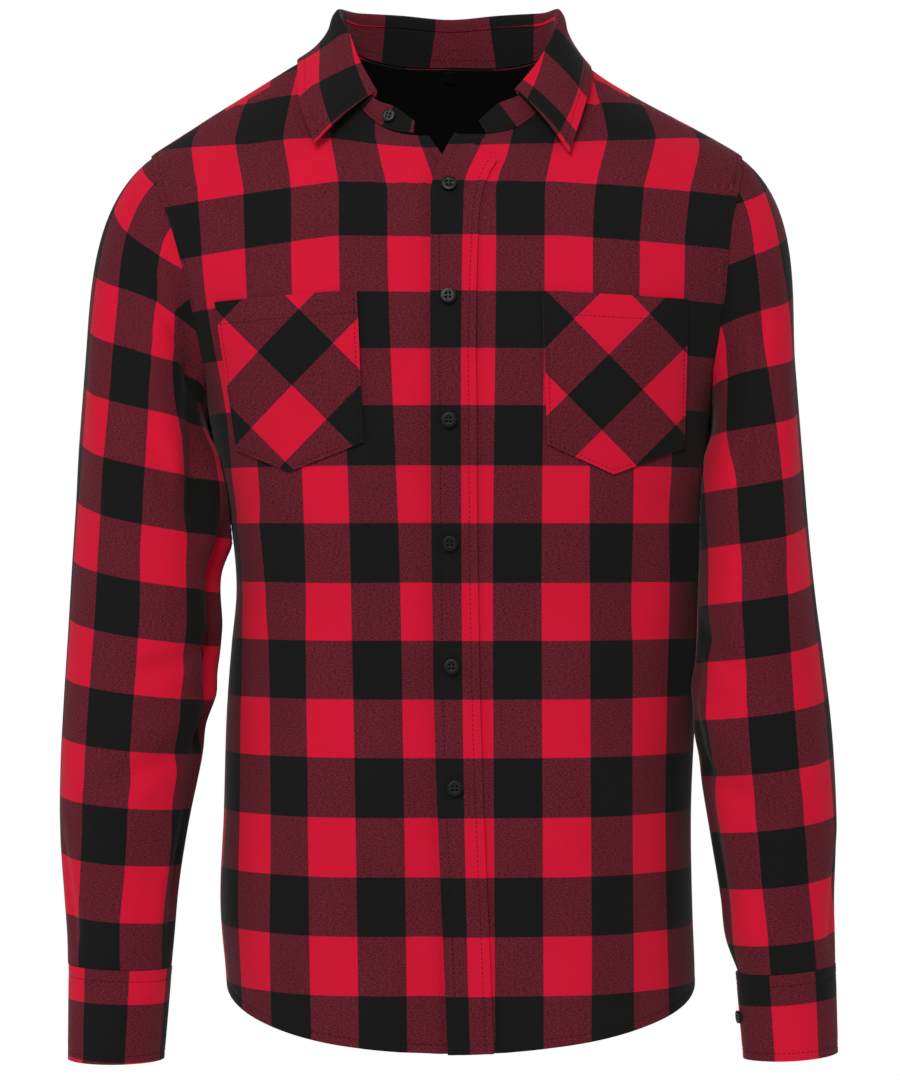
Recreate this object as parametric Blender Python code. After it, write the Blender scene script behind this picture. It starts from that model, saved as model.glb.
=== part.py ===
"""Long-sleeved flannel shirt, worn form with no wearer, open at neck, hem and cuffs.

Metres, +Z up. The front faces -Y, +X is the wearer's left. The origin lies between
the shoulders, level with the high points of the shoulder seams, where the shirt hangs.
Tables are in millimetres and degrees, and are turned into metres where they are read.
"""
import math

import bmesh
import bpy
import numpy as np
from mathutils import Matrix, Vector

MM = 0.001

# Cloth
WALL = 1.4 * MM
POCKET_WALL = 1.2 * MM
STAND_WALL = 1.8 * MM
LEAF_WALL = 1.6 * MM
CUFF_WALL = 2.0 * MM
SEAM_GAP = 0.32 * MM
LAYER_GAP = 0.4 * MM
LAP_GAP = 0.9 * MM
POCKET_GAP = 0.8 * MM

# Body: one row for each level. right and left are the half widths on the wearer's two
# sides, front and back the depths from X-Z plane, middle the depth of the side seam,
# square the exponent of the ring's superellipse.
BODY_COLUMNS = ("z", "right", "left", "front", "back", "middle", "square")
BODY = (
    (-800, 172.0, 190.0, 113.0, 118.0, 12.0, 2.50),
    (-697, 173.5, 190.0, 117.0, 121.0, 12.0, 2.50),
    (-642, 178.0, 188.0, 117.5, 120.0, 12.0, 2.50),
    (-569, 175.5, 187.0, 117.0, 116.0, 12.0, 2.50),
    (-482, 172.8, 191.0, 114.5, 109.0, 12.0, 2.50),
    (-439, 169.7, 193.5, 113.5, 107.0, 12.0, 2.50),
    (-395, 166.0, 195.5, 114.5, 107.5, 12.0, 2.50),
    (-345, 170.5, 197.5, 118.0, 111.0, 12.0, 2.50),
    (-312, 177.0, 199.0, 120.0, 115.0, 12.0, 2.45),
    (-270, 185.5, 201.0, 121.5, 119.5, 10.0, 2.45),
    (-240, 194.0, 208.0, 122.0, 122.5, 6.0, 2.40),
    (-200, 211.5, 225.0, 120.0, 124.5, 2.0, 2.40),
    (-165, 229.0, 240.0, 115.5, 124.5, 0.0, 2.35),
    (-120, 246.0, 248.0, 105.0, 120.0, 0.0, 2.25),
    (-90, 250.5, 247.5, 94.0, 112.0, 0.0, 2.15),
    (-75, 243.5, 240.0, 87.5, 107.0, 0.0, 2.10),
    (-60, 230.0, 224.5, 79.0, 100.5, 0.0, 2.05),
    (-50, 215.0, 208.0, 73.0, 95.5, 0.0, 2.00),
    (-40, 199.5, 190.0, 68.0, 90.0, 0.0, 2.00),
    (-30, 184.0, 171.0, 62.5, 83.5, 0.0, 2.00),
    (-20, 168.0, 152.0, 57.0, 77.0, 0.0, 2.00),
    (-10, 152.0, 134.5, 51.5, 70.5, 0.0, 2.00),
    (0, 136.0, 118.5, 46.0, 64.0, 0.0, 2.00),
    (13, 114.0, 101.0, 38.5, 56.0, 0.0, 2.00),
    (20, 99.0, 91.0, 34.5, 51.0, 0.0, 2.00),
    (26, 83.0, 83.0, 31.0, 45.5, 0.0, 2.00),
    (36, 58.0, 60.0, 24.0, 36.0, 0.0, 2.00),
)

# Hem of the body, a shirt tail that rises to the side seams
HEM_FRONT = -740 * MM
HEM_BACK = -757 * MM
HEM_SIDE = -697 * MM
HEM_CURVE = 1.45

# Armholes, egg-shaped loops seen from the side; turn 0 is the top and 90 the front
ARMHOLE_MIDDLE = -165.5 * MM
ARMHOLE_RADIUS = 105.0 * MM
ARMHOLE_FRONT_REACH = 67.0 * MM
ARMHOLE_BACK_REACH = 76.0 * MM
FRONT_SEAM_TURN = 10.0
BACK_SEAM_TURN = -44.0

# Neckline, seen from above; turn 0 is the front, 90 the side and 180 the back
NECK_SIDE = 83.0 * MM
NECK_FRONT = 74.0 * MM
NECK_BACK = 55.0 * MM
NECK_FRONT_SQUARE = 3.2
NECK_BACK_SQUARE = 2.4
NECK_SEAM_TURN = 82.0

# Front edges: x of each front's free edge, from the hem to the neckline, and how wide the
# placket's band is beside it
EDGE_COLUMNS = ("z", "right_front", "left_front", "band")
EDGES = (
    (-760, 26.0, -0.5, 34.0),
    (-740, 25.5, -1.5, 34.0),
    (-652, 24.0, -5.2, 34.0),
    (-523, 20.5, -10.4, 34.0),
    (-270, 18.5, -14.3, 34.0),
    (-118, 18.0, -14.3, 34.0),
    (-92, 8.0, -13.9, 34.0),
    (-68, -5.4, -5.2, 28.5),
    (-49, -17.8, 4.6, 24.5),
    (-40, -23.0, 9.0, 23.0),
)
EDGE_NAMES = {-1: "right_front", 1: "left_front"}

# Side seams: body turn of each at the hem; they rise to turn 90 at this share of the way
# up to the armpit
HEM_SEAM_TURNS = {-1: 66.0, 1: 90.0}
SEAM_RISE = 0.75

UNDERLAP_START = 12.0 * MM
UNDERLAP_FADE = 60.0 * MM
NECK_CORNER = -50.0 * MM
ROW_DROOP = 1.4

# Main folds of the body, seen from the front: a line from (x0, z0) to (x1, z1), its
# half width, and how far it pushes the cloth out (in where it is negative).
FOLD_COLUMNS = ("face", "x0", "z0", "x1", "z1", "width", "push")
BODY_FOLDS = (
    ("front", -150, -318, -120, -420, 20, -3.0),
    ("front", 168, -322, 128, -430, 20, -3.0),
    ("front", -24, -430, -20, -770, 12, -3.0),
    ("front", -88, -360, -96, -740, 34, 4.0),
    ("front", 96, -380, 104, -720, 32, 3.5),
    ("front", -146, -400, -132, -640, 18, -2.5),
    ("front", 158, -420, 146, -700, 18, -2.5),
    ("back", -150, -210, -60, -420, 22, -3.5),
    ("back", 154, -200, 70, -400, 22, -3.0),
    ("back", -88, -330, -104, -740, 36, 4.5),
    ("back", 84, -340, 108, -740, 36, 4.0),
    ("back", -4, -300, 8, -740, 26, -4.0),
)

# Sleeves: one row for each section, from the upper arm to the cuff seam. outer and inner
# are distances from the middle plane, rise is how much higher the outer side lies, deep
# is the middle's y, half_depth the section's reach to front and back, and press how far the
# inner side swells towards the body.
SLEEVE_COLUMNS = ("z", "outer", "inner", "rise", "deep", "half_depth", "press")
SLEEVES = {
    "right": (
        (-258, 280.9, 173.5, 84, -8, 68, 3),
        (-318, 285.8, 171.0, 44, -18, 64, 8),
        (-345, 286.9, 169.4, 30, -24, 61, 3),
        (-373, 288.6, 174.5, 18, -29, 59, 0),
        (-429, 291.5, 174.0, 6, -37, 57, 0),
        (-480, 294.5, 181.5, 0, -41, 55, 0),
        (-526, 296.5, 189.0, -3, -45, 52, 0),
        (-579, 296.5, 199.5, -5, -48, 48, 0),
        (-626, 293.0, 206.5, -4, -51, 44, 0),
        (-660, 290.5, 209.5, 0, -53, 41, 0),
        (-680, 290.0, 211.5, 3, -54, 39, 0),
    ),
    "left": (
        (-262, 266.0, 194.5, 78, -10, 69, 4),
        (-312, 270.5, 192.8, 36, -22, 67, 4),
        (-358, 274.0, 191.0, 14, -33, 65, 1),
        (-404, 278.5, 189.0, 4, -42, 62, 0),
        (-449, 284.2, 187.2, 0, -48, 59, 0),
        (-495, 289.5, 184.8, -3, -51, 56, 0),
        (-540, 292.5, 190.5, -5, -53, 52, 0),
        (-586, 293.5, 198.0, -5, -54, 48, 0),
        (-631, 291.5, 205.5, -2, -56, 44, 0),
        (-660, 291.8, 209.5, 3, -57, 41, 0),
        (-682, 292.0, 218.5, 7, -58, 39, 0),
    ),
}

# Round and along a sleeve, as its folds are laid out
SLEEVE_GIRTH = 360.0 * MM
SLEEVE_LENGTH = 600.0 * MM

# How far a sleeve's cloth keeps off the body's, beside the armhole and further down
SLEEVE_START_CLEAR = 0.5 * MM
SLEEVE_CLEAR = 1.4 * MM

# Main folds of the sleeves: along runs from 0 at the armhole to 1 at the cuff, turn goes
# round the sleeve as it does round the armhole.
SLEEVE_FOLD_COLUMNS = ("along0", "turn0", "along1", "turn1", "width", "push")
SLEEVE_FOLDS = {
    "right": (
        (0.10, 60, 0.34, 120, 12, -4.0),
        (0.16, 35, 0.46, 80, 16, 3.0),
        (0.52, 175, 0.58, 90, 12, -4.0),
        (0.60, 190, 0.66, 110, 13, 3.5),
        (0.66, 185, 0.74, 70, 12, -3.5),
        (0.80, 20, 0.97, 40, 10, -2.5),
        (0.78, 150, 0.97, 130, 11, 2.5),
        (0.30, -60, 0.60, -120, 18, -4.0),
    ),
    "left": (
        (0.08, 70, 0.30, 110, 11, -3.5),
        (0.14, 40, 0.44, 70, 16, 3.0),
        (0.50, 170, 0.60, 95, 12, -3.5),
        (0.58, 185, 0.68, 120, 13, 3.0),
        (0.70, 180, 0.78, 80, 12, -3.5),
        (0.82, 10, 0.97, 30, 10, -2.5),
        (0.78, 140, 0.97, 120, 11, 2.5),
        (0.34, -50, 0.62, -130, 18, -4.0),
    ),
}

# Cuffs: the same columns for the top and bottom section of each
CUFFS = {
    "right": ((-680.4, 289.5, 211.0, 3, -54, 39, 0), (-751.0, 290.0, 216.8, 0, -55, 37, 0)),
    "left": ((-682.4, 292.4, 219.5, 7, -58, 39, 0), (-747.5, 294.0, 225.0, 5, -59, 37, 0)),
}
CUFF_START_TURNS = {"right": 235.0, "left": 172.0}
CUFF_LAP_TURN = 26.0
CUFF_RISE_TURN = 44.0
CUFF_BUTTON_COLUMN = 2

# Collar: the neckline's turn, the point of the fold above it, how far the stand's own
# edge lies below the fold, the leaf's outer edge, and how far the leaf bulges out between
# the two. From the left end to the right.
COLLAR_COLUMNS = (
    "turn", "fold_x", "fold_y", "fold_z", "drop", "edge_x", "edge_y", "edge_z", "bulge"
)
COLLAR = (
    (44.0, 48.6, -60.0, -16.0, 6.0, 89.9, -85.0, -66.3, 3.0),
    (61.0, 65.0, -46.0, 5.0, 8.0, 104.0, -54.0, -22.5, 3.0),
    (77.0, 77.5, -27.0, 28.0, 9.0, 109.0, -24.0, 2.0, 1.0),
    (95.0, 83.8, -2.0, 50.4, 10.0, 105.0, 6.0, 13.0, -2.0),
    (127.0, 70.0, 34.0, 55.5, 11.0, 83.0, 50.0, 11.5, 1.0),
    (153.0, 38.0, 53.0, 56.5, 11.0, 45.0, 63.5, 8.5, 3.0),
    (180.0, 0.0, 58.0, 54.0, 11.0, 0.0, 68.5, 6.5, 3.0),
    (207.0, -38.0, 53.0, 56.5, 11.0, -45.0, 63.5, 8.5, 3.0),
    (233.0, -70.0, 34.0, 55.5, 11.0, -84.0, 50.0, 12.0, 0.0),
    (265.0, -86.1, -2.0, 51.2, 10.0, -117.0, 6.0, 16.5, -4.0),
    (283.0, -77.8, -27.0, 33.5, 9.0, -117.0, -28.0, 2.0, -2.0),
    (299.0, -68.1, -46.0, 7.7, 8.0, -114.0, -58.0, -27.0, 2.0),
    (316.0, -54.7, -60.0, -17.5, 6.0, -102.2, -84.0, -59.5, 3.0),
)
# Stand's free edge past the leaf, at its left and right ends
STAND_COLUMNS = ("turn", "top_x", "top_y", "top_z")
STAND_LEFT_END = ((10.0, 22.0, -72.5, -41.0), (26.0, 36.0, -68.0, -28.5))
STAND_RIGHT_END = ((334.0, -40.9, -68.0, -31.0), (350.0, -27.0, -73.5, -42.0))
STAND_GAP = 0.5 * MM
STAND_BUTTON_TURN = 333.0
LEG_GAP = 0.6 * MM
LEAF_CREST = 3.0 * MM
LEAF_SPREAD = 4.0 * MM
LEAF_SHARES = (0.0, 0.3, 0.65, 1.0)

# Pockets: x and z of the corners on each front, and the bottom point
POCKET_COLUMNS = ("corner", "x", "z")
POCKETS = {
    "right": (
        ("top_side", -176.0, -179.0),
        ("top_middle", -69.0, -172.5),
        ("bottom_middle", -64.0, -285.5),
        ("point", -119.5, -307.0),
        ("bottom_side", -160.0, -290.0),
    ),
    "left": (
        ("top_side", 178.0, -177.5),
        ("top_middle", 68.3, -173.3),
        ("bottom_middle", 72.0, -287.0),
        ("point", 121.5, -309.0),
        ("bottom_side", 176.0, -288.5),
    ),
}

# Buttons, turned discs with a raised rim: radius and height of the profile's points
BUTTON_RADIUS = 5.8 * MM
BUTTON_HEIGHT = 2.5 * MM
BUTTON_PROFILE = ((0.0, 0.45), (0.52, 0.5), (0.78, 0.95), (0.93, 1.0), (1.0, 0.5), (0.9, 0.0), (0.0, 0.0))
BUTTON_SIDES = 12
BUTTON_LEVELS = (-93.0, -177.5, -269.0, -360.0, -452.0, -542.0)
BUTTON_EDGE_DISTANCE = 13.5 * MM
SMALL_BUTTON_SCALE = 0.86

# Grid counts
FRONT_COLUMNS = 13
ROWS_BELOW_ARMPIT = 14
ROWS_FRONT_EDGE = 6
ROWS_NECKLINE = 7
YOKE_END_STEPS = 4
YOKE_SEAM_STEPS = 14
BACK_ROWS_ABOVE = 8
SLEEVE_CAP_ROWS = 6
SLEEVE_ROWS = 13
CUFF_STEPS = 26
POCKET_STEPS = 10

RED_CHECK = (0.42, 0.02, 0.035, 1.0)
BLACK_CLOTH = (0.012, 0.012, 0.013, 1.0)
DARK_RED = (0.2, 0.02, 0.03, 1.0)
BUTTON_BLACK = (0.02, 0.02, 0.022, 1.0)


def clear_scene():
    for thing in list(bpy.data.objects):
        bpy.data.objects.remove(thing, do_unlink=True)


def mix(a, b, t):
    return a + (b - a) * t


def ease(t):
    t = np.clip(t, 0.0, 1.0)
    return t * t * (3.0 - 2.0 * t)


def unit(vectors):
    return vectors / np.linalg.norm(vectors, axis=-1, keepdims=True)


def column(rows, names, name):
    return np.array([row[names.index(name)] for row in rows], dtype=float)


def smooth(xs, ys, x):
    """Cubic through the points (xs, ys), with xs ascending, read at x."""
    x = np.clip(x, xs[0], xs[-1])
    slopes = np.gradient(ys, xs)
    i = np.clip(np.searchsorted(xs, x, side="right") - 1, 0, len(xs) - 2)
    span = xs[i + 1] - xs[i]
    t = (x - xs[i]) / span
    start = (2 * t**3 - 3 * t**2 + 1) * ys[i] + (t**3 - 2 * t**2 + t) * span * slopes[i]
    end = (3 * t**2 - 2 * t**3) * ys[i + 1] + (t**3 - t**2) * span * slopes[i + 1]
    return start + end


def read(rows, names, key, name, x):
    """A table's column in metres, read smoothly at x metres of its key column."""
    keys = column(rows, names, key)
    return smooth(keys, column(rows, names, name), np.asarray(x) / MM) * MM


def body_ring(z):
    """Half widths, depths and squareness of the body's ring at height z."""
    ring = {name: read(BODY, BODY_COLUMNS, "z", name, z) for name in BODY_COLUMNS[1:]}
    ring["square"] = ring["square"] / MM
    ring["front"] = ring["front"] + ring["middle"]
    ring["back"] = ring["back"] - ring["middle"]
    return ring


def plain_body_point(turn, z):
    """A point on the body before its folds; turn is 0 in front and 90 at the left seam."""
    ring = body_ring(z)
    angle = np.radians(turn)
    power = 2.0 / ring["square"]
    half = np.where(np.sin(angle) < 0, ring["right"], ring["left"])
    depth = np.where(np.cos(angle) < 0, ring["back"], ring["front"])
    x = half * np.sign(np.sin(angle)) * np.abs(np.sin(angle)) ** power
    y = ring["middle"] - depth * np.sign(np.cos(angle)) * np.abs(np.cos(angle)) ** power
    return np.stack([x, y, np.broadcast_to(z, x.shape)], axis=-1)


def surface_normal(point, turn, z):
    across = point(turn + 0.4, z) - point(turn - 0.4, z)
    up = point(turn, z + 0.5 * MM) - point(turn, z - 0.5 * MM)
    return unit(np.cross(across, up))


def ridge(x, y, x0, y0, x1, y1, width):
    """Height, from 0 to 1, of a soft ridge along the line from (x0, y0) to (x1, y1)."""
    length = math.hypot(x1 - x0, y1 - y0)
    ux, uy = (x1 - x0) / length, (y1 - y0) / length
    along = ((x - x0) * ux + (y - y0) * uy) / length
    away = -(x - x0) * uy + (y - y0) * ux
    taper = ease((along + 0.2) / 0.4) * ease((1.2 - along) / 0.4)
    return taper * np.exp(-((away / width) ** 2))


def body_push(turn, point):
    """How far the body's folds push the cloth out at a point."""
    push = np.zeros(np.shape(point)[:-1])
    facing_front = np.cos(np.radians(turn)) > 0
    x, z = point[..., 0] / MM, point[..., 2] / MM
    for row in BODY_FOLDS:
        fold = dict(zip(FOLD_COLUMNS, row))
        height = ridge(x, z, *[fold[key] for key in ("x0", "z0", "x1", "z1", "width")])
        here = facing_front == (fold["face"] == "front")
        push += np.where(here, height * fold["push"] * MM, 0.0)
    return push


def body_point(turn, z):
    turn, z = np.broadcast_arrays(np.asarray(turn, float), np.asarray(z, float))
    point = plain_body_point(turn, z)
    push = body_push(turn, point)
    return point + surface_normal(plain_body_point, turn, z) * push[..., None]


def body_normal(turn, z):
    return surface_normal(body_point, turn, z)


def turn_at_x(x, z):
    """Turn of the point on the front at height z that lies at x."""
    ring = body_ring(z)
    half = np.where(np.asarray(x) < 0, ring["right"], ring["left"])
    share = np.clip(np.abs(x) / half, 0.0, 1.0)
    return np.degrees(np.arcsin(share ** (ring["square"] / 2.0))) * np.sign(x)


def armhole(side, turn):
    """(body turn, z) of the armhole loop at a turn round it."""
    angle = np.radians(turn)
    z = ARMHOLE_MIDDLE + ARMHOLE_RADIUS * np.cos(angle)
    ring = body_ring(z)
    reach = np.where(np.sin(angle) > 0, ARMHOLE_FRONT_REACH, ARMHOLE_BACK_REACH)
    depth = np.where(np.sin(angle) > 0, ring["front"], ring["back"])
    share = np.clip(reach * np.abs(np.sin(angle)) / depth, 0.0, 1.0)
    from_middle = np.degrees(np.arccos(share ** (ring["square"] / 2.0)))
    body_turn = np.where(np.sin(angle) > 0, from_middle, 180.0 - from_middle)
    return side * body_turn, z


def neckline(turn):
    """(body turn, z) of the neckline at a turn round the neck, found on the surface."""
    angle = np.radians(turn)
    power = 2.0 / np.where(np.cos(angle) < 0, NECK_BACK_SQUARE, NECK_FRONT_SQUARE)
    x = NECK_SIDE * np.sign(np.sin(angle)) * np.abs(np.sin(angle)) ** power
    reach = np.where(np.cos(angle) < 0, NECK_BACK, NECK_FRONT)
    y = -reach * np.sign(np.cos(angle)) * np.abs(np.cos(angle)) ** power
    low = np.full(np.shape(x), -0.09)
    high = np.full(np.shape(x), 0.036)
    for _ in range(40):
        z = 0.5 * (low + high)
        ring = body_ring(z)
        half = np.where(x < 0, ring["right"], ring["left"])
        depth = np.where(y > 0, ring["back"], ring["front"])
        wide = (np.abs(x) / half) ** ring["square"]
        deep = (np.abs(y) / depth) ** ring["square"]
        inside = wide + deep < 1.0
        low = np.where(inside, z, low)
        high = np.where(inside, high, z)
    from_front = np.degrees(np.arctan2(np.sqrt(wide), np.sqrt(deep)))
    body_turn = np.where(y > 0, 180.0 - from_front, from_front) * np.where(x < 0, -1, 1)
    return body_turn, z


def side_turn(side, up):
    """Body turn of a side seam at a share of the way from the hem up to the armpit."""
    return mix(HEM_SEAM_TURNS[side], 90.0, ease(np.asarray(up) / SEAM_RISE))


def hem_height(turn):
    share = np.abs(turn) / 90.0
    front = mix(HEM_FRONT, HEM_SIDE, np.clip(share, 0, 1) ** HEM_CURVE)
    back = mix(HEM_BACK, HEM_SIDE, np.clip(2.0 - share, 0, 1) ** HEM_CURVE)
    return np.where(share <= 1.0, front, back)


def trim(points, edge, amount):
    """Draws one edge of a grid of points back by amount, towards the next line of it."""
    points = points.copy()
    here, following = {
        "first_row": (points[0], points[1]),
        "last_row": (points[-1], points[-2]),
        "first_column": (points[:, 0], points[:, 1]),
        "last_column": (points[:, -1], points[:, -2]),
    }[edge]
    here += unit(following - here) * amount
    return points


def trim_all(points, *edges):
    for edge in edges:
        points = trim(points, edge, SEAM_GAP / 2)
    return points


def grid_normals(points, closed=False):
    """Normals of a grid of points, from its own rows and columns."""
    if closed:
        across = np.roll(points, -1, axis=1) - np.roll(points, 1, axis=1)
    else:
        across = np.gradient(points, axis=1)
    return unit(np.cross(across, np.gradient(points, axis=0)))


def add_object(name, mesh, colour, roughness):
    thing = bpy.data.objects.new(name, mesh)
    bpy.context.scene.collection.objects.link(thing)
    material = bpy.data.materials.new(name + "_material")
    material.use_nodes = True
    shader = material.node_tree.nodes["Principled BSDF"]
    shader.inputs["Base Color"].default_value = colour
    shader.inputs["Roughness"].default_value = roughness
    shader.inputs["Metallic"].default_value = 0.0
    mesh.materials.append(material)
    return thing


def add_cloth(name, points, normals, colour, wall=WALL, lift=0.0, closed=False):
    """Makes a wall of cloth whose outer side is the grid of points, lifted by lift.

    Rows run up and columns to the left round the outside, so that faces point out. A
    closed grid joins its last column to its first.
    """
    rows, columns = points.shape[:2]
    lift = np.broadcast_to(np.asarray(lift, float), (rows, columns))[..., None]
    outer = points + normals * lift
    inner = points + normals * (lift - wall)
    shell = bmesh.new()
    skins = [[[shell.verts.new(p) for p in row] for row in skin] for skin in (outer, inner)]
    out, within = skins
    steps = columns if closed else columns - 1
    for r in range(rows - 1):
        for c in range(steps):
            d = (c + 1) % columns
            shell.faces.new((out[r][c], out[r][d], out[r + 1][d], out[r + 1][c]))
            shell.faces.new((within[r][c], within[r + 1][c], within[r + 1][d], within[r][d]))
    for c in range(steps):
        d = (c + 1) % columns
        shell.faces.new((out[0][d], out[0][c], within[0][c], within[0][d]))
        shell.faces.new((out[-1][c], out[-1][d], within[-1][d], within[-1][c]))
    if not closed:
        for r in range(rows - 1):
            shell.faces.new((out[r][0], out[r + 1][0], within[r + 1][0], within[r][0]))
            shell.faces.new((out[r + 1][-1], out[r][-1], within[r][-1], within[r + 1][-1]))
    mesh = bpy.data.meshes.new(name)
    shell.to_mesh(mesh)
    shell.free()
    mesh.shade_smooth()
    mesh.set_sharp_from_angle(angle=math.radians(50))
    return add_object(name, mesh, colour, 0.9)


def front_columns(side, z, side_turn):
    """Turns along a front at height z: its band in two steps, then even steps."""
    edge_x = read(EDGES, EDGE_COLUMNS, "z", EDGE_NAMES[side], z)
    width = read(EDGES, EDGE_COLUMNS, "z", "band", z)
    band = edge_x + side * width * np.array([0.0, 0.5, 1.0])
    band_turns = turn_at_x(band, z)
    rest = mix(band_turns[-1], side_turn, np.linspace(0.0, 1.0, FRONT_COLUMNS - 2))
    return np.concatenate([band_turns[:2], rest])


def neck_shares():
    """Shares of the way from the neckline to the armhole, over the front's top rows."""
    return np.concatenate([[0.0, 0.07], np.linspace(0.14, 1.0, FRONT_COLUMNS - 2)])


def armhole_front_turns():
    return np.linspace(180.0, FRONT_SEAM_TURN, ROWS_FRONT_EDGE + ROWS_NECKLINE + 1)


def front_neck_turns(side):
    """Turns round the neck at which a front's neckline has its points."""
    corner_x = float(read(EDGES, EDGE_COLUMNS, "z", EDGE_NAMES[side], NECK_CORNER))
    corner = math.degrees(math.asin((abs(corner_x) / NECK_SIDE) ** (NECK_FRONT_SQUARE / 2)))
    corner = math.copysign(corner, corner_x)
    return np.linspace(corner, side * NECK_SEAM_TURN, ROWS_NECKLINE + 1)


def yoke_neck_turns():
    count = 2 * YOKE_END_STEPS + YOKE_SEAM_STEPS + 1
    return np.linspace(NECK_SEAM_TURN, 360.0 - NECK_SEAM_TURN, count)


def front_map(side):
    """(body turn, z) of a front's grid, from its hem up and its free edge to its side."""
    armpit = float(armhole(side, 180.0)[1])
    neck_turns = front_neck_turns(side)
    corner_z = float(neckline(neck_turns[0])[1])
    turns, levels = [], []
    for up in np.linspace(0.0, 1.0, ROWS_BELOW_ARMPIT + 1):
        z = mix(HEM_FRONT, armpit, up)
        turn = front_columns(side, z, side * side_turn(side, up))
        turns.append(turn)
        levels.append(mix(hem_height(turn), armpit, up))
    side_turns, side_levels = armhole(side, armhole_front_turns()[1:])
    slope = np.linspace(0.0, 1.0, FRONT_COLUMNS) ** ROW_DROOP
    for j, up in enumerate(np.linspace(0.0, 1.0, ROWS_FRONT_EDGE + 1)[1:]):
        z = mix(armpit, corner_z, up)
        turns.append(front_columns(side, z, side_turns[j]))
        levels.append(mix(z, side_levels[j], slope))
    shares = neck_shares()
    edge_points = zip(*neckline(neck_turns[1:]))
    for j, (edge_turn, edge_z) in enumerate(edge_points, start=ROWS_FRONT_EDGE):
        turns.append(mix(edge_turn, side_turns[j], shares))
        levels.append(mix(edge_z, side_levels[j], shares**ROW_DROOP))
    turns, levels = np.array(turns), np.array(levels)
    if side < 0:
        turns, levels = turns[:, ::-1], levels[:, ::-1]
    return turns, levels


def make_fronts():
    """The two fronts, and the placket from the left front's first two bands."""
    for side, name in ((-1, "front_right"), (1, "front_left")):
        turns, levels = front_map(side)
        points = body_point(turns, levels)
        normals = body_normal(turns, levels)
        side_edge = "first_column" if side < 0 else "last_column"
        points = trim_all(points, side_edge, "last_row")
        lift = np.zeros(turns.shape)
        if side < 0:
            lap = points[..., 0] - read(EDGES, EDGE_COLUMNS, "z", EDGE_NAMES[1], levels)
            lift = -(WALL + LAP_GAP) * ease(1.0 + (lap + UNDERLAP_START) / UNDERLAP_FADE)
        add_cloth(name, points, normals, RED_CHECK, lift=lift)
        if side > 0:
            rows = slice(0, ROWS_BELOW_ARMPIT + ROWS_FRONT_EDGE + 1)
            strip = trim(points[rows, :3], "last_row", SEAM_GAP)
            lift = LAYER_GAP * 0.75 + WALL
            add_cloth("placket", strip, normals[rows, :3], DARK_RED, lift=lift)


def make_back():
    """The back, from its hem to the seam under the yoke."""
    armpit = float(armhole(1, 180.0)[1])
    shares = np.linspace(0.0, 1.0, YOKE_SEAM_STEPS + 1)
    turns, levels = [], []
    for up in np.linspace(0.0, 1.0, ROWS_BELOW_ARMPIT + 1):
        below = mix(side_turn(1, up), 360.0 - side_turn(-1, up), shares)
        hem = hem_height(np.where(below > 180, 360 - below, below))
        turns.append(below)
        levels.append(mix(hem, armpit, up))
    for loop_turn in np.linspace(-180.0, BACK_SEAM_TURN, BACK_ROWS_ABOVE + 1)[1:]:
        left_turn, z = armhole(1, loop_turn)
        right_turn, _ = armhole(-1, loop_turn)
        turns.append(mix(float(left_turn), float(right_turn) + 360.0, shares))
        levels.append(np.full(shares.shape, float(z)))
    turns, levels = np.array(turns), np.array(levels)
    points = trim_all(body_point(turns, levels), "first_column", "last_column", "last_row")
    add_cloth("back", points, body_normal(turns, levels), RED_CHECK)


def yoke_map():
    """(body turn, z) of the yoke's grid, from its outer edge in to the neckline."""
    end_turns = np.linspace(FRONT_SEAM_TURN, BACK_SEAM_TURN, YOKE_END_STEPS + 1)
    left_turns, left_levels = armhole(1, end_turns)
    right_turns, right_levels = armhole(-1, end_turns[::-1])
    shares = np.linspace(0.0, 1.0, YOKE_SEAM_STEPS + 1)[1:-1]
    seam_turns = mix(left_turns[-1], right_turns[0] + 360.0, shares)
    seam_levels = np.full(shares.shape, left_levels[-1])
    outer_turns = np.concatenate([left_turns, seam_turns, right_turns + 360.0])
    outer_levels = np.concatenate([left_levels, seam_levels, right_levels])
    inner_turns, inner_levels = neckline(yoke_neck_turns())
    inner_turns = np.where(inner_turns < 0, inner_turns + 360.0, inner_turns)
    shares = neck_shares()[::-1, None]
    turns = mix(inner_turns, outer_turns, shares)
    levels = mix(inner_levels, outer_levels, shares**ROW_DROOP)
    return turns, levels


def make_yokes():
    turns, levels = yoke_map()
    normals = body_normal(turns, levels)
    points = trim_all(
        body_point(turns, levels), "first_row", "last_row", "first_column", "last_column"
    )
    add_cloth("yoke", points, normals, DARK_RED)
    lift = -(WALL + SEAM_GAP)
    add_cloth("yoke_lining", points, normals, BLACK_CLOTH, lift=lift)


def loop_turns():
    """Turns round the armhole at which its pieces have their points."""
    front = armhole_front_turns()
    end = np.linspace(FRONT_SEAM_TURN, BACK_SEAM_TURN, YOKE_END_STEPS + 1)[1:]
    back = np.linspace(BACK_SEAM_TURN, -180.0, BACK_ROWS_ABOVE + 1)[1:-1]
    return np.concatenate([front, end, back])


def section(row, side, turns):
    """Points of a sleeve's or cuff's section, from its seven sizes in millimetres."""
    z, outer, inner, rise, deep, half_depth, press = [value * MM for value in row]
    angle = np.radians(turns)
    swell = press * np.clip(-np.cos(angle), 0.0, 1.0) ** 2
    x = side * (0.5 * (outer + inner) + 0.5 * (outer - inner) * np.cos(angle) - swell)
    y = deep - half_depth * np.sin(angle)
    height = z + 0.5 * rise * np.cos(angle)
    return np.stack([x, y, height], axis=-1)


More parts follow.
